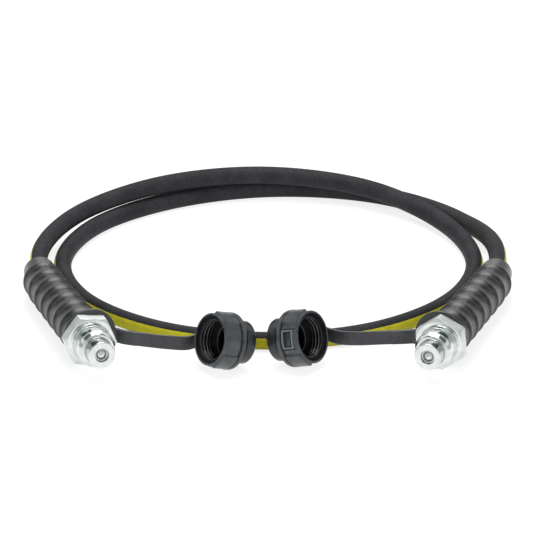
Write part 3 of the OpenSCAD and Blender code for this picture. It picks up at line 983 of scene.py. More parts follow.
@dataclass(frozen=True)
class Place:
    """Place of a fitting, made along +Z out of its nose, or of a cap, out of its mouth.

    Attributes:
        origin: Centre of the nose face, or of the cap's flange.
        turn: Turn of its axis from -Y towards the middle.
        rise: Rise of its axis over the floor.
        roll: Roll of its hexagon or its lugs about the axis.
    """

    side: Side
    origin: Point
    turn: float
    rise: float
    roll: float

    @property
    def rotation(self) -> Matrix:
        """Turn that takes +Z to the axis."""
        yaw = math.radians(-self.side.sign * self.turn)
        tip = math.radians(90 - self.rise)
        return Matrix.Rotation(yaw, 4, "Z") @ Matrix.Rotation(tip, 4, "X")

    @property
    def axis(self) -> Vector:
        """Direction out of the nose or the mouth."""
        return (self.rotation @ UP).normalized()

    @property
    def up(self) -> Vector:
        """Upright direction across the axis."""
        return (UP - self.axis * self.axis.z).normalized()

    def at(self, distance: float) -> Vector:
        """Point on the axis, a distance behind the origin."""
        return Vector(self.origin) - distance * self.axis

    def turned(self, distance: float = 0.0, roll: float = 0.0) -> Matrix:
        """Places a shape in millimetres a distance behind the origin, rolled in radians."""
        return Matrix.Translation(self.at(distance)) @ self.rotation @ Matrix.Rotation(roll, 4, "Z")

    @property
    def matrix(self) -> Matrix:
        """Places a piece in metres."""
        return TO_METRES @ self.turned()


NOSE_Z, FITTING_RISE = 21.9777, 2.0
CAP_Z, CAP_TURN, CAP_RISE = 20.5896, -57.0, 16.5
FITTINGS = {
    Side.LEFT: Place(Side.LEFT, (-121.0, -87.0, NOSE_Z), 16.0, FITTING_RISE, 53.0),
    Side.RIGHT: Place(Side.RIGHT, (115.0, -91.0, NOSE_Z), 17.0, FITTING_RISE, 35.0),
}
CAPS = {
    Side.LEFT: Place(Side.LEFT, (-29.5, -55.5, CAP_Z), CAP_TURN, CAP_RISE, 258.0),
    Side.RIGHT: Place(Side.RIGHT, (18.5, -50.5, CAP_Z), CAP_TURN, CAP_RISE, 166.0),
}


@dataclass
class HoseRoute:
    """The hose's centre line, from the left ferrule round the coil to the right one.

    Attributes:
        hose_at: Distance of the hose's ends.
        straight_to: Distance to which it runs straight.
        coil_y: Place of the coil's centre along Y.
        collars: Where it leaves each guard.
        lay: (degrees turned, radius, height) of each point round the coil.
    """

    hose_d: float = 13.0
    hose_at: float = 65.4
    straight_to: float = 110.0
    guard_end: float = 187.0
    coil_y: float = 130.0
    collars: dict[Side, Point] = field(
        default_factory=lambda: {
            Side.LEFT: (-168, 93, 15.8),
            Side.RIGHT: (166.5, 90, 15.8),
        }
    )
    lay: tuple[Point, ...] = (
        (0, 168, 15.6),
        (30, 157.5, 17.2),
        (60, 147, 20.1),
        (90, 145.5, 19.2),
        (120, 148, 15.2),
        (150, 150, 8.4),
        (180, 151, 6.5),
        (210, 151, 6.5),
        (240, 151, 6.5),
        (270, 150, 6.5),
        (300, 151, 6.5),
        (330, 152, 6.5),
        (360, 151.5, 6.5),
        (390, 148.5, 6.5),
        (420, 146, 6.5),
        (450, 151, 6.5),
        (480, 159.5, 6.5),
        (510, 166, 6.6),
        (540, 167.5, 15.6),
    )

    def __post_init__(self) -> None:
        """Strings the points together."""
        ends = (self.hose_at, self.straight_to)
        left = [FITTINGS[Side.LEFT].at(d) for d in ends]
        right = [FITTINGS[Side.RIGHT].at(d) for d in reversed(ends)]
        coil = [self.on_coil(*point) for point in self.lay]
        first, final = (Vector(self.collars[side]) for side in (Side.LEFT, Side.RIGHT))
        self.stations = [*left, first, *coil, final, *right]
        self.last = len(self.stations) - 1

    def on_coil(self, turned: float, radius: float, height: float) -> Vector:
        """Point of the coil, an angle round its centre."""
        angle = math.radians(turned)
        return Vector((-radius * math.cos(angle), self.coil_y + radius * math.sin(angle), height))

    def chord(self, i: int) -> float:
        """Length of the straight line from station i to the next."""
        return (self.stations[i + 1] - self.stations[i]).length

    def heading(self, i: int) -> Vector:
        """Direction from station i to the next."""
        return (self.stations[i + 1] - self.stations[i]).normalized()

    def slope(self, i: int) -> Vector:
        """Direction of the route at a station, weighted by the nearer neighbour.

        Args:
            i: Number of the station.

        Returns:
            The direction; the first two and the last two stations share a straight line.
        """
        if i <= 1:
            return self.heading(0)
        if i >= self.last - 1:
            return self.heading(self.last - 1)
        before, after = self.chord(i - 1), self.chord(i)
        mixed = self.heading(i - 1) * after + self.heading(i) * before
        return mixed / (before + after)

    def point(self, i: int, f: float) -> Vector:
        """Point between station i and the next.

        Args:
            i: Number of the station.
            f: Share of the way to the next one.

        Returns:
            The point, never lower than the hose can lie.
        """
        leave, arrive = self.slope(i) * self.chord(i), self.slope(i + 1) * self.chord(i)
        made = glide(self.stations[i], self.stations[i + 1], leave, arrive, f)
        made.z = max(made.z, self.hose_d / 2)
        return made

    def points(self, step: float) -> list[Vector]:
        """Points along the route.

        Args:
            step: Largest length of chord between two of them.

        Returns:
            The points, from the left end to the right one.
        """
        made = []
        for i in range(self.last):
            count = math.ceil(self.chord(i) / step)
            made += [self.point(i, k / count) for k in range(count)]
        return [*made, self.stations[self.last]]

    def in_guard(self, side: Side, distance: float) -> Vector:
        """Centre of a guard.

        Args:
            side: Which guard.
            distance: Distance behind the nose face.

        Returns:
            The point on the fitting's axis, or past the straight stretch on the route.
        """
        if distance <= self.straight_to:
            return FITTINGS[side].at(distance)
        run = self.guard_end - self.straight_to
        if side is Side.LEFT:
            return self.point(1, (distance - self.straight_to) / run)
        return self.point(self.last - 2, (self.guard_end - distance) / run)


# ---- hose -------------------------------------------------------------------------------


@dataclass
class Hose:
    """The hose: cover, wire braid and inner tube, each a closed tube of its own."""

    route: HoseRoute
    cover_d: float = 13.0
    braid_d: float = 10.4
    core_d: float = 9.0
    bore_d: float = 6.4

    def layer(
        self, name: str, outer_d: float, inner_d: float, step: float, sides: int
    ) -> bpy.types.Object:
        """One layer as a closed tube.

        Args:
            name: The piece's name.
            outer_d: Outside diameter.
            inner_d: Inside diameter.
            step: Spacing of its rings.
            sides: Faces round it.

        Returns:
            The layer.
        """
        path = self.route.points(step)
        out = [Ring.across(point, ahead) for point, ahead in zip(path, headings(path))]
        walls = [(ring, outer_d / 2) for ring in out]
        walls += [(ring, inner_d / 2) for ring in reversed(out)]
        return add_piece(tube(walls, sides), name, TO_METRES, 60.0)

    def build(self) -> None:
        cover = self.layer("hose_cover_tube", self.cover_d, self.braid_d, 3.0, 28)
        braid = self.layer("hose_braid_tube", self.braid_d, self.core_d, 8.0, 16)
        core = self.layer("hose_inner_tube", self.core_d, self.bore_d, 8.0, 16)
        stand_for(cover, HoseCover(), ROOT_BODY, "hose_cover")
        stand_for(braid, WireBraid(), ROOT_BODY, "hose_braid")
        stand_for(core, INNER_TUBE, ROOT_BODY, "hose_core")
        path = [tuple(point * MM) for point in self.route.points(4.0)]
        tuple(path[0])


# ---- bend guard -------------------------------------------------------------------------


@dataclass
class BendGuard:
    """Ribbed rubber guard over one hose end.

    Attributes:
        route: The hose's centre line, which it follows.
        rib_d_hose: Diameter of the rib nearest the hose.
        rib_d_coupler: Diameter of the rib nearest the coupler.
        crest_at: Place of a rib's crest from its coupler side, as a share of the pitch.
        crest_r: How far the crest's rounding reaches.
        crest_cut: Share of the groove's depth that the rounding takes off the crest.
        trough: Place of the groove's bottom in front of the crest, as a share.
        collar_d: Diameter of the smooth collar.
        collar_fillet: Height and length of the fillet at the collar's foot.
        lip_len: Length of the taper at the collar's end.
        boss_d: Bore over the coupler's neck.
        cavity_d: Bore over the ferrule.
        passage_d: Bore that the hose passes.
    """

    side: Side
    route: HoseRoute
    start: float = 43.0
    rib_d_hose: float = 30.0
    rib_d_coupler: float = 34.0
    rib_count: int = 7
    groove_depth: float = 1.9
    crest_at: float = 0.16
    crest_r: float = 1.4
    crest_cut: float = 0.22
    trough: float = 0.32
    collar_d: float = 23.5
    collar_len: float = 19.0
    collar_fillet: Span = (1.5, 5.0)
    lip_len: float = 1.2
    boss_d: float = 24.3
    boss_end: float = 56.0
    cavity_d: float = 22.3
    cavity_end: float = 102.6
    passage_d: float = 13.8

    def collar_r(self, at: float) -> float:
        """Radius of the collar.

        Args:
            at: Distance past its foot.

        Returns:
            The radius, over the fillet, the plain part and the tapered lip.
        """
        rise, run = self.collar_fillet
        f = clamp(at / run)
        lip = max(at - self.collar_len + self.lip_len, 0.0)
        return self.collar_d / 2 + rise * (1 - f * f * (3 - 2 * f)) - 0.5 * lip

    def outer_r(self, at: float) -> float:
        """Radius of the outside.

        Args:
            at: Distance behind the nose face.

        Returns:
            The radius: each rib climbs slowly to its crest and falls steeply in front of it.
        """
        collar_at = self.route.guard_end - self.collar_len
        if at >= collar_at:
            return self.collar_r(at - collar_at)
        share = (at - self.start) / (collar_at - self.start)
        full = self.rib_d_coupler + (self.rib_d_hose - self.rib_d_coupler) * share
        pitch = (collar_at - self.start) / self.rib_count
        ahead = (1 - self.crest_at - share * self.rib_count) % 1.0
        sweep = 1 - (1 - clamp(ahead / self.trough)) ** 4
        climb = clamp((ahead - self.trough) / (1 - self.trough)) ** 1.5
        edge = min(ahead, 1 - ahead) * pitch / self.crest_r
        rounding = self.crest_cut * clamp(1 - edge) ** 2
        fall = min(sweep, 1 - climb) * (1 - rounding) + rounding
        return full / 2 - self.groove_depth * fall

    def section(self) -> list[Span]:
        """Closed outline of the guard's wall.

        Returns:
            (distance, radius) of each point, out along the outside and back through the bores.
        """
        end = self.route.guard_end
        rows, bore_rows = 230, 12
        outside = [self.start + (end - self.start) * k / rows for k in range(rows + 1)]
        bores = (
            (end, self.cavity_end + 0.8, self.passage_d),
            (self.cavity_end, self.boss_end + 0.1, self.cavity_d),
            (self.boss_end, self.start, self.boss_d),
        )
        inside = [
            (a + (b - a) * k / bore_rows, d / 2) for a, b, d in bores for k in range(bore_rows + 1)
        ]
        return [(at, self.outer_r(at)) for at in outside] + inside

    def ring(self, at: float) -> Ring:
        """Cross-section of the guard at a distance behind the nose face."""
        ahead = self.route.in_guard(self.side, at + 0.5) - self.route.in_guard(self.side, at - 0.5)
        return Ring.across(self.route.in_guard(self.side, at), ahead.normalized())

    def build(self) -> None:
        """Builds and finishes the guard."""
        bm = tube([(self.ring(at), radius) for at, radius in self.section()], 72)
        guard = add_piece(bm, self.side.node("ribbed_bend_guard"), TO_METRES, 50.0)
        stand_for(guard, GUARD_RUBBER, ROOT_BODY, self.side.node("bend_guard"))


# ---- coupler ----------------------------------------------------------------------------


@dataclass
class Coupler:
    """One ball-check coupler half and its hose end.

    Attributes:
        cone_r: Radius where the barrel's front cone starts.
        line_at: Place of the fine line sunk in the barrel.
        hex_half: Half the hexagon's width across flats.
        hex_chamfer: Slope of the hexagon's chamfers.
        recess_r: Radius of the recess in the nose face.
        hole_r: Radius of the hole that the ball closes; the seat's cone starts at its end.
        chamber_r: Radius of the valve's chamber, with the retaining ring's groove in it.
        socket_r: Radius of the nipple's socket.
        edge: Chamfer of the body's end; the sharper edges have half of it.
        spring_d: Diameter of the spring through its wire's middle.
        travel: How far the ball opens; not used.
    """

    fitting: Place
    nose_r: float = 10.0
    nose_len: float = 11.0
    cone_r: float = 12.2
    cone_len: float = 3.4
    barrel_r: float = 14.2
    line_at: float = 24.0
    line_depth: float = 0.5
    hex_at: float = 29.5
    hex_len: float = 10.5
    hex_half: float = 17.5
    hex_chamfer: float = 20.0
    neck_r: float = 12.0
    body_end: float = 56.0
    recess_r: float = 5.1
    recess_at: float = 2.2
    hole_r: float = 3.9
    hole_end: float = 2.9
    chamber_r: float = 6.0
    chamber_at: float = 6.537
    groove_r: float = 6.7
    groove_from: float = 24.477
    groove_to: float = 25.877
    socket_r: float = 8.6
    socket_at: float = 37.0
    edge: float = 0.8
    spring_wire: float = 1.0
    spring_d: float = 8.6
    spring_turns: int = 4
    spring_from: float = 9.277
    spring_to: float = 21.377
    travel: float = 3.5

    def hex_outline(self, angle: float) -> float:
        """Outline of the hexagon.

        Args:
            angle: Angle from a corner, in radians.

        Returns:
            Distance from the axis to the hexagon's side, with the corner cut back a little.
        """
        off_flat = angle % math.radians(60) - math.radians(30)
        corner = self.hex_half / math.cos(math.radians(30)) - 0.2
        return min(self.hex_half / math.cos(off_flat), corner)

    def section(self) -> list[tuple[float, float, float]]:
        """Closed outline of the body's wall.

        Returns:
            (radius, distance, share of the hexagon) of each point, from the seat out over the
            nose, back along the outside and forward through the bore. A share of 1 puts the
            point on the hexagon's sides, and its radius is counted from them.
        """
        half_edge = self.edge / 2
        rear = self.hex_at + self.hex_len
        line_r = self.barrel_r - self.line_depth
        outside = [
            (self.hole_r, self.hole_end),
            (self.hole_r, self.recess_at),
            (self.recess_r, self.recess_at),
            (self.recess_r, 0.3),
            (self.recess_r + 0.3, 0.0),
            (self.nose_r - half_edge, 0.0),
            (self.nose_r, half_edge),
            (self.nose_r, self.nose_len),
            (self.cone_r, self.nose_len),
            (self.barrel_r, self.nose_len + self.cone_len),
            (self.barrel_r, self.line_at),
            (line_r, self.line_at + 0.1),
            (line_r, self.line_at + 0.7),
            (self.barrel_r, self.line_at + 0.8),
            (self.barrel_r, self.hex_at),
            (self.hex_half - half_edge, self.hex_at),
        ]
        back = [
            (self.hex_half - half_edge, rear),
            (self.neck_r, rear),
            (self.neck_r, self.body_end - self.edge),
            (self.neck_r - self.edge, self.body_end),
            (self.socket_r, self.body_end),
            (self.socket_r, self.socket_at),
            (self.chamber_r, self.socket_at),
            (self.chamber_r, self.groove_to),
            (self.groove_r, self.groove_to),
            (self.groove_r, self.groove_from),
            (self.chamber_r, self.groove_from),
            (self.chamber_r, self.chamber_at),
            (self.hole_r, self.hole_end),
        ]
        sides = [(-0.3, self.hex_at), (0.0, self.hex_at + 0.2), (0.0, rear - 0.2), (-0.3, rear)]
        made = [(r, z, 0.0) for r, z in rounded(outside, 0.9)]
        made += [(r, z, 1.0) for r, z in sides]
        made += [(r, z, 0.0) for r, z in rounded(back, 0.5, 3)]
        return made[:-1]

    def body(self) -> None:
        """Builds the turned body with its chamfered hexagon."""
        side = self.fitting.side
        section = self.section()
        roll = math.radians(self.fitting.roll)
        flat_r = self.hex_half - self.edge / 2
        middle = self.hex_at + self.hex_len / 2
        slope = math.tan(math.radians(self.hex_chamfer))

        def place(angle: float, line: int) -> Vector:
            """Point of the wall.

            Args:
                angle: Angle round the axis, in radians.
                line: Number of the point on the wall's outline.

            Returns:
                The point, with the hexagon's corners cut back by its chamfers.
            """
            r, z, on_hex = section[line % len(section)]
            if on_hex:
                r += self.hex_outline(angle)
                fall = max(r - flat_r, 0.0) * slope
                z += fall if z < middle else -fall
            return polar(r, angle + roll, -z)

        bm = new_mesh()
        wrap(bm, 144, len(section), place)
        matrix = self.fitting.matrix
        body = add_piece(bm, side.node("turned_body"), matrix, 24.0)
        stand_for(body, TurnedZinc(), ROOT_BODY, side.node("coupler_body"), matrix)

    def spring(self) -> None:
        """Builds the ball spring: round wire, wound smoothly."""
        side = self.fitting.side
        count = self.spring_turns * 24
        run = self.spring_to - self.spring_from

        def place(angle: float, line: int) -> Vector:
            """Point on the wire's skin.

            Args:
                angle: Angle round the wire, in radians.
                line: Number of the wire's ring; the first and the last close it to a point.

            Returns:
                The point.
            """
            f = clamp((line - 1) / count)
            wire = 0.0 if line in (0, count + 2) else self.spring_wire / 2
            wound = 2 * math.pi * self.spring_turns * f
            out = polar(1.0, wound, 0.0)
            middle = out * (self.spring_d / 2) - UP * (self.spring_from + run * f)
            return middle + wire * (math.cos(angle) * out + math.sin(angle) * UP)

        bm = new_mesh()
        wrap(bm, 10, count + 2, place)
        matrix = self.fitting.matrix
        wire = add_piece(bm, side.node("wound_ball_spring"), matrix)
        stand_for(wire, SPRING_STEEL, ROOT_BODY, side.node("ball_spring"), matrix)
        back = self.spring_to + self.spring_wire / 2
        side.node("ball_slide")
        tuple(self.fitting.axis)
        tuple(self.fitting.at(back) * MM)
        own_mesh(wire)

    def dress_nodes(self) -> None:
        """Finishes the pieces that keep their CAD meshes."""
        finishes = {
            "check_ball": BEARING_STEEL,
            "spring_stop": PLATED_STEEL,
            "retaining_ring": SPRING_STEEL,
            "hose_nipple": PLATED_STEEL,
            "ferrule": PLATED_STEEL,
        }
        for kind, finish in finishes.items():
            node = self.fitting.side.node(kind)
            finish.dress(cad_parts[node], self.fitting.matrix)
            log.info("%s: CAD mesh, %s", node, finish.slot.value)

    def build(self) -> None:
        """Builds and finishes the coupler half."""
        self.body()
        self.spring()
        self.dress_nodes()


# ---- dust cap ---------------------------------------------------------------------------


@dataclass
class DustCap:
    """One threaded dust cap; its other sizes are in CAP.

    Attributes:
        mouth_len: Length of the plain bore behind the mouth.
        foot_depth: Depth of the groove at the skirt's foot.
        neck_r: Radius of the neck that the strap's ring sits on.
        root_r: Radius of the thread's roots.
        pocket_at: Place of the shoulder in front of the pocket.
        lug_half: Half the angle that a grip lug covers.
        lug_rise: Height of a lug over the skirt; the panel's rim is half as high.
        sunk: Depth of the lines on both sides of the panel's rim.
    """

    cap: Place
    mouth_at: float = 16.6
    mouth_len: float = 2.4
    flange_r: float = 21.0
    flange_half: float = 1.6
    foot_depth: float = 0.7
    foot_len: float = 0.5
    neck_r: float = 13.0
    disc_r: float = 15.7
    disc_at: float = -6.2
    disc_end: float = -14.2
    root_r: float = 15.7
    crest_pitch: float = 2.8
    crest_count: int = 4
    pocket_at: float = 1.0
    lug_half: float = 24.0
    lug_rise: float = 1.7
    lug_start: float = 2.3
    lug_end: float = 14.6
    sunk: float = 0.7

    def rise(self, turned: float, z: float) -> float:
        """Height of the lugs and the panel's rim over the skirt.

        Args:
            turned: Angle from the cap's roll.
            z: Height over the flange's middle.

        Returns:
            The height; it is negative in the line sunk along the rim.
        """
        from_lug = abs(turned % 120 - 60)
        lug = clamp((self.lug_half - from_lug) / 1.5 + 0.5)
        lug *= clamp((self.lug_end + 0.5 - z) / 0.5) * clamp((z - self.lug_start) / 0.2)
        across = abs((turned + 180) % 360 - 180) * math.radians(CAP.skirt_r)
        inset = min(CAP.panel_half_w - across, z - CAP.panel_low, CAP.panel_high - z)
        rim = clamp(inset / 0.3 + 0.5) - clamp((inset - CAP.panel_rim) / 0.3 + 0.5)
        in_line = CAP.panel_rim + 0.2 < inset < CAP.panel_rim + 0.8 or -0.8 < inset < -0.2
        return self.lug_rise * max(lug, rim / 2) - (self.sunk if in_line else 0.0)

    def skirt_rows(self) -> list[float]:
        """Places of the skirt's rows.

        Returns:
            The heights, close together where the rise over the skirt changes.
        """
        low, high, rim = CAP.panel_low, CAP.panel_high, CAP.panel_rim
        rows = [self.flange_half + self.foot_len + 0.1, self.lug_start, self.lug_start + 0.2]
        rows += [low - 0.15, low + 0.15, low + rim - 0.15, low + rim + 0.15, low + rim + 0.65]
        rows += [6.0, 8.0, 10.0, high - rim - 0.65]
        rows += [high - rim - 0.15, high - rim + 0.15, high - 0.15, high + 0.15]
        return rows + [self.lug_end, self.lug_end + 0.5, self.lug_end + 0.6]

    def section(self) -> list[tuple[float, float, bool]]:
        """Outline of the wall, from the disc over the skirt to the pocket.

        Returns:
            (radius, height, whether it lies on the skirt) of each point.
        """
        edge = 0.8
        foot_r = CAP.skirt_r - self.foot_depth
        back = [
            (0.0, self.disc_end),
            (self.disc_r - edge, self.disc_end),
            (self.disc_r, self.disc_end + edge),
            (self.disc_r, self.disc_at),
            (self.neck_r, self.disc_at),
            (self.neck_r, -self.flange_half),
            (self.flange_r, -self.flange_half),
            (self.flange_r, self.flange_half),
            (foot_r, self.flange_half),
            (foot_r, self.flange_half + self.foot_len),
        ]
        top = self.mouth_at - self.mouth_len
        front = [
            (CAP.skirt_r, self.lug_end + 0.7),
            (CAP.skirt_r, self.mouth_at),
            (CAP.mouth_r, self.mouth_at),
            (CAP.mouth_r, top),
        ]
        for k in range(self.crest_count):
            z = top - (k + 1) * self.crest_pitch
            front += [
                (CAP.crest_r, z + 0.9 * self.crest_pitch),
                (self.root_r, z + 0.6 * self.crest_pitch),
                (self.root_r, z + 0.35 * self.crest_pitch),
            ]
        front += [
            (CAP.crest_r, top - self.crest_count * self.crest_pitch),
            (CAP.pocket_r, self.pocket_at),
            (CAP.pocket_r, CAP.pocket_end),
            (0.0, CAP.pocket_end),
        ]
        return (
            [(r, z, False) for r, z in rounded(back, 0.35, 3)]
            + [(CAP.skirt_r, z, True) for z in self.skirt_rows()]
            + [(r, z, False) for r, z in rounded(front, 0.4, 3)]
        )

    def build(self) -> None:
        """Builds and finishes the cap."""
        section = self.section()
        roll = math.radians(self.cap.roll)

        def place(angle: float, line: int) -> Vector:
            """Point of the wall.

            Args:
                angle: Angle from the cap's roll, in radians.
                line: Number of the point on the wall's outline.

            Returns:
                The point, raised where a lug or the panel's rim stands on the skirt.
            """
            r, z, on_skirt = section[line]
            if on_skirt:
                r += self.rise(math.degrees(angle), z)
            return polar(r, angle + roll, z)

        bm = new_mesh()
        wrap(bm, 240, len(section) - 1, place)
        matrix, node = self.cap.matrix, self.cap.side.node("dust_cap")
        piece = add_piece(bm, self.cap.side.node("lugged_dust_cap"), matrix, 28.0)
        stand_for(piece, MouldedPlastic(roll=self.cap.roll), node, node, matrix)


# ---- strap ------------------------------------------------------------------------------


@dataclass
class Strap:
    """Rubber strap between a coupler's neck and its dust cap.

    Attributes:
        fitting: Place of the coupler, which the big ring sits on.
        cap: Place of the cap, which the small ring sits on.
        band: Middle of the band between its rings.
        flare: How much wider the band is at its rings, as a share.
        flare_points: Points of the band's path over which it widens.
        thickness: Thickness of the rings; the band is a little thinner.
        tab_len: Length of the thicker tab at the coupler's ring.
        lean: Points of the path before its end where the band starts and stops leaning.
        big_off: How far the big ring's outline lies off its bore.
        big_lift: How far up that offset is turned from the band's side.
        big_reach: Where the path starts and leaves the big ring's plane, past its edge.
        small_at: How far the small ring lies behind the flange's middle.
        small_reach: Distances from the cap's axis at which the path meets the small ring's
            plane and ends.
    """

    fitting: Place
    cap: Place
    band: tuple[Point, ...]
    width: float = 10.6
    flare: float = 0.28
    flare_points: int = 14
    thickness: float = 2.4
    tab_len: float = 20.0
    tab_t: float = 3.2
    lean: tuple[int, int] = (40, 20)
    big_d: float = 39.2
    big_off: float = 2.8
    big_lift: float = 35.0
    big_bore: float = 24.2
    big_at: float = 41.5
    big_reach: Span = (-1.5, 3.3)
    small_d: float = 34.0
    small_bore: float = 26.2
    small_at: float = 3.1
    small_reach: Span = (23.4, 14.6)

    def ring(
        self, bm: bmesh.types.BMesh, to_mm: Matrix, bore: float, outer: float, off: float = 0.0
    ) -> None:
        """Adds a flat ring with rounded edges.

        Args:
            bm: The strap's mesh.
            to_mm: Matrix that places it, in millimetres.
            bore: Bore.
            outer: Outside diameter.
            off: How far the outline's centre lies along +X from the bore's.
        """
        rows = 24

        def place(angle: float, line: int) -> Vector:
            """Point on the ring's skin.

            Args:
                angle: Angle round the ring's axis, in radians.
                line: Number of the point round the ring's section.

            Returns:
                The point in the strap's frame.
            """
            aside = off * math.sin(angle)
            reach = off * math.cos(angle) + math.sqrt((outer / 2) ** 2 - aside**2)
            x, z = bead(reach - bore / 2, self.thickness, 1.0, line / rows)
            r = (reach + bore / 2) / 2 + x
            return to_mm @ polar(r, angle, z)

        wrap(bm, 96, rows, place)

    def middle_line(self) -> list[Vector]:
        """Smooth middle of the band.

        Returns:
            Points from the coupler's ring to the cap's, ten to each stretch.
        """
        big, small = self.fitting.at(self.big_at), self.cap.at(self.small_at)
        away = self.cap.side.sign * UP.cross(self.cap.axis).normalized()

        def in_ring(centre: Vector, normal: Vector, out: Vector, off: float) -> Vector:
            """Point in a ring's plane, a distance from its centre towards a direction."""
            return centre + off * (out - out.dot(normal) * normal).normalized()

        first = Vector(self.band[0]) - big
        pts = [
            in_ring(big, self.fitting.axis, first, self.big_d / 2 + past)
            for past in self.big_reach
        ]
        pts += [Vector(point) for point in self.band]
        pts += [in_ring(small, self.cap.axis, away, off) for off in self.small_reach]
        path = []
        steps = 10
        for a, b, c, d in zip([pts[0], *pts], pts, pts[1:], [*pts[2:], pts[-1]]):
            path += [glide(b, c, (c - a) / 2, (d - b) / 2, k / steps) for k in range(steps)]
        return [*path, pts[-1]]

    def sections(self) -> list[tuple[Ring, float, float]]:
        """Sections of the band along its middle line.

        Returns:
            (cross-section, width, thickness) of each; the band stands upright and leans to
            the cap's own upright before it reaches the cap.
        """
        path = self.middle_line()
        last = len(path) - 1
        lean_from, lean_to = (last - points for points in self.lean)
        made = []
        reached = 0.0
        for i, (point, ahead) in enumerate(zip(path, headings(path))):
            f = clamp((i - lean_from) / (lean_to - lean_from))
            across = ahead.cross(UP * (1 - f) + self.cap.up * f).normalized()
            flare = clamp(1 - min(i, last - i) / self.flare_points)
            wide = self.width * (1 + self.flare * flare * flare)
            reached += (point - path[max(i - 1, 0)]).length
            thick = self.tab_t if reached < self.tab_len else self.thickness - 0.2
            made.append((Ring(point, across, across.cross(ahead)), wide, thick))
        return made

    def build(self) -> None:
        """Builds and finishes the strap."""
        side = self.fitting.side
        sections = self.sections()
        rows, sides = len(sections) + 1, 24

        def place(angle: float, line: int) -> Vector:
            """Point on the band's skin.

            Args:
                angle: Angle round the band, in radians.
                line: Number of the band's ring; the first and the last close it to a point.

            Returns:
                The point.
            """
            ring, wide, thick = sections[min(max(line - 1, 0), len(sections) - 1)]
            if line in (0, rows):
                return ring.middle
            return ring.at(*bead(thick, wide, 0.7, angle / (2 * math.pi)))

        bm = new_mesh()
        wrap(bm, sides, rows, place)
        lift = math.radians(self.big_lift if side is Side.LEFT else 180 - self.big_lift)
        on_neck = self.fitting.turned(self.big_at, lift)
        self.ring(bm, on_neck, self.big_bore, self.big_d, self.big_off)
        self.ring(bm, self.cap.turned(self.small_at), self.small_bore, self.small_d)
        strap = add_piece(bm, side.node("moulded_strap"), TO_METRES)
        stand_for(strap, STRAP_RUBBER, side.node("strap"), side.node("strap"))


BANDS: dict[Side, tuple[Point, ...]] = {
    Side.LEFT: (
        (-104, -44.5, 19),
        (-88, -47.5, 18),
        (-72, -48, 16.4),
        (-59, -44.5, 14.6),
        (-50, -37.5, 15.5),
        (-44, -32, 18),
    ),
    Side.RIGHT: (
        (98, -45.5, 19.8),
        (82, -46.5, 19.6),
        (66, -45, 18.4),
        (52, -40, 17),
        (40.5, -32.5, 17.4),
        (33.5, -28, 18.5),
    ),
}


# ---- studio -----------------------------------------------------------------------------


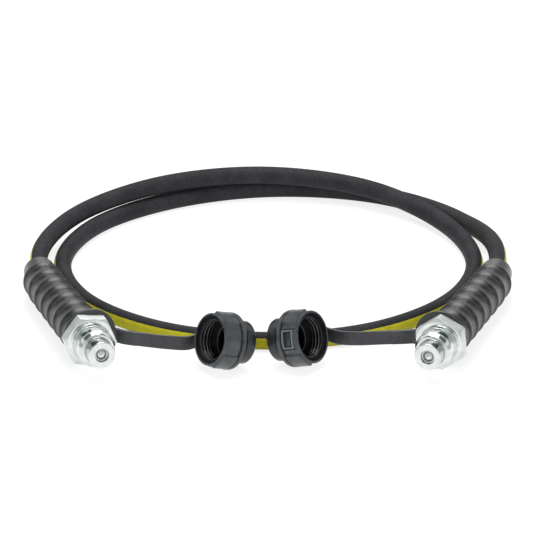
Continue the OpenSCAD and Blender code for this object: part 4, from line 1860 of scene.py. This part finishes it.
@dataclass
class Studio:
    """Camera, soft lights, pale floor and the surroundings that the metal mirrors.

    Attributes:
        lens: Focal length: long, so that the view hardly narrows with distance.
        width: Width of the view at the coil, m.
        elevation: Height of the camera above the horizon.
        aim: Middle of the view, m.
        lit: Colour of the room's walls and ceiling, as shiny surfaces mirror them.
        low: Colour of the walls near the floor.
        front: Colour of the room behind the camera.
        unlit: Colour of the dark openings between the lamps.
        ambient: Colour that the room sheds on matt surfaces.
    """

    lens: float = 1600.0
    sensor: float = 36.0
    width: float = 0.3936
    elevation: float = 21.8
    aim: Point = (-0.00066, 0.12897, 0.00393)
    lit: Colour = (0.96, 0.97, 0.96)
    low: Colour = (0.42, 0.44, 0.44)
    front: Colour = (0.66, 0.68, 0.68)
    unlit: Colour = (0.03, 0.05, 0.065)
    ambient: Colour = (0.36, 0.37, 0.38)

    def camera(self) -> None:
        """Makes the camera and looks through it."""
        data = bpy.data.cameras.new("camera")
        data.lens = self.lens
        data.sensor_width = self.sensor
        data.clip_start = 0.5
        data.clip_end = 100.0
        camera = show("camera", data)
        rise = math.radians(self.elevation)
        back = Vector((0, -math.cos(rise), math.sin(rise)))
        camera.location = Vector(self.aim) + back * (self.width * self.lens / self.sensor)
        camera.rotation_euler = (-back).to_track_quat("-Z", "Y").to_euler()
        bpy.context.scene.camera = camera

    def lamp(
        self, name: str, place: Point, size: float, watts: float, mirrored: bool = True
    ) -> None:
        """Adds a square soft lamp that faces the middle of the object.

        Args:
            name: The lamp's name.
            place: Where it hangs, m.
            size: Its width, m.
            watts: Its power.
            mirrored: Whether shiny surfaces mirror it.
        """
        data = bpy.data.lights.new(name, "AREA")
        data.shape = "SQUARE"
        data.size = size
        data.energy = watts
        lamp = show(name, data)
        lamp.location = place
        towards = Vector((0, 0.08, 0)) - Vector(place)
        lamp.rotation_euler = towards.to_track_quat("-Z", "Y").to_euler()
        lamp.visible_glossy = mirrored

    def mirrored(self, graph: Graph) -> Value:
        """Colours of the room by the direction in which a shiny surface mirrors it.

        Args:
            graph: The world's graph.

        Returns:
            A white room, greyer low down and in front, with dark openings behind on each
            side, overhead and where the viewer stands.
        """
        x, y, z = graph.parts(graph.node("ShaderNodeTexCoord").outputs["Generated"])
        wide = abs(x)
        corner = wide.between((0.15, 0.22), (0.58, 0.68)) * y.rises(0.0, 0.2)
        corner = corner * z.between((0.12, 0.20), (0.48, 0.56))
        viewer = wide.falls(0.18, 0.28) * y.falls(-0.7, -0.5)
        viewer = viewer * z.between((0.10, 0.18), (0.44, 0.52))
        overhead = wide.between((0.18, 0.30), (0.76, 0.86))
        overhead = overhead * z.rises(0.48, 0.60) * y.falls(0.20, 0.35)
        openings = corner.larger(overhead * 0.9).larger(viewer * 0.7)
        low = z.falls(0.18, 0.40) * (0.2 + 0.8 * wide.rises(0.25, 0.50))
        front = y.falls(-0.55, 0.05) * z.falls(0.30, 0.55)
        room = graph.mix(front, graph.mix(low, self.lit, self.low), self.front)
        return graph.mix(openings, room, self.unlit)

    def surroundings(self) -> None:
        """Room that the object mirrors and is lit by, and a white background."""
        world = bpy.data.worlds.new("room")
        bpy.context.scene.world = world
        graph = Graph(world)
        rays = graph.node("ShaderNodeLightPath").outputs
        soft = graph.mix(rays["Is Glossy Ray"], self.ambient, self.mirrored(graph))
        seen = Value(graph, rays["Is Camera Ray"]).larger(rays["Is Transmission Ray"])
        sockets = {"Color": graph.mix(seen, soft, (1.0, 1.0, 1.0)), "Strength": 1.0}
        background = graph.node("ShaderNodeBackground", None, sockets)
        graph.node("ShaderNodeOutputWorld", None, {"Surface": background.outputs[0]})

    def floor(self) -> None:
        """Pale floor that keeps the object's shadow."""
        bm = new_mesh()
        bmesh.ops.create_grid(bm, x_segments=8, y_segments=8, size=3.0)
        mesh = bpy.data.meshes.new("floor")
        bm.to_mesh(mesh)
        bm.free()
        floor = show("floor", mesh)
        material = bpy.data.materials.new("pale_floor")
        graph = Graph(material)
        rays = graph.node("ShaderNodeLightPath").outputs
        seen = Value(graph, rays["Is Camera Ray"]).larger(rays["Is Glossy Ray"])
        seen = seen.larger(rays["Is Transmission Ray"])
        glow = graph.node(
            "ShaderNodeEmission", None, {"Color": (1.0, 1.0, 1.0), "Strength": 0.80}
        )
        sockets = {0: graph.diffuse(0.28), 1: glow.outputs[0]}
        pale = graph.node("ShaderNodeAddShader", None, sockets).outputs[0]
        graph.finish(graph.blend(seen, graph.diffuse(0.80), pale))
        mesh.materials.append(material)

    def build(self) -> None:
        """Sets up the whole studio."""
        bpy.context.scene.view_settings.view_transform = "Standard"
        self.camera()
        self.lamp("lamp_above", (0.0, 0.10, 1.3), 0.85, 9.5)
        self.lamp("lamp_behind", (0.0, 0.45, 0.75), 0.5, 2.8)
        self.lamp("lamp_left", (-0.9, -1.0, 0.5), 0.5, 6.5, False)
        self.lamp("lamp_right", (0.9, -1.0, 0.5), 0.5, 6.5, False)
        self.surroundings()
        self.floor()


# ---- the assembly -----------------------------------------------------------------------


def main() -> None:
    """Builds the assembly in order: studio, hose, then each end."""
    logging.basicConfig(level=logging.INFO, format="%(name)s: %(message)s")
    Studio().build()
    route = HoseRoute()
    Hose(route).build()
    for side in Side:
        BendGuard(side, route).build()
        Coupler(FITTINGS[side]).build()
        DustCap(CAPS[side]).build()
        Strap(FITTINGS[side], CAPS[side], BANDS[side]).build()


if __name__ == "__main__":
    main()
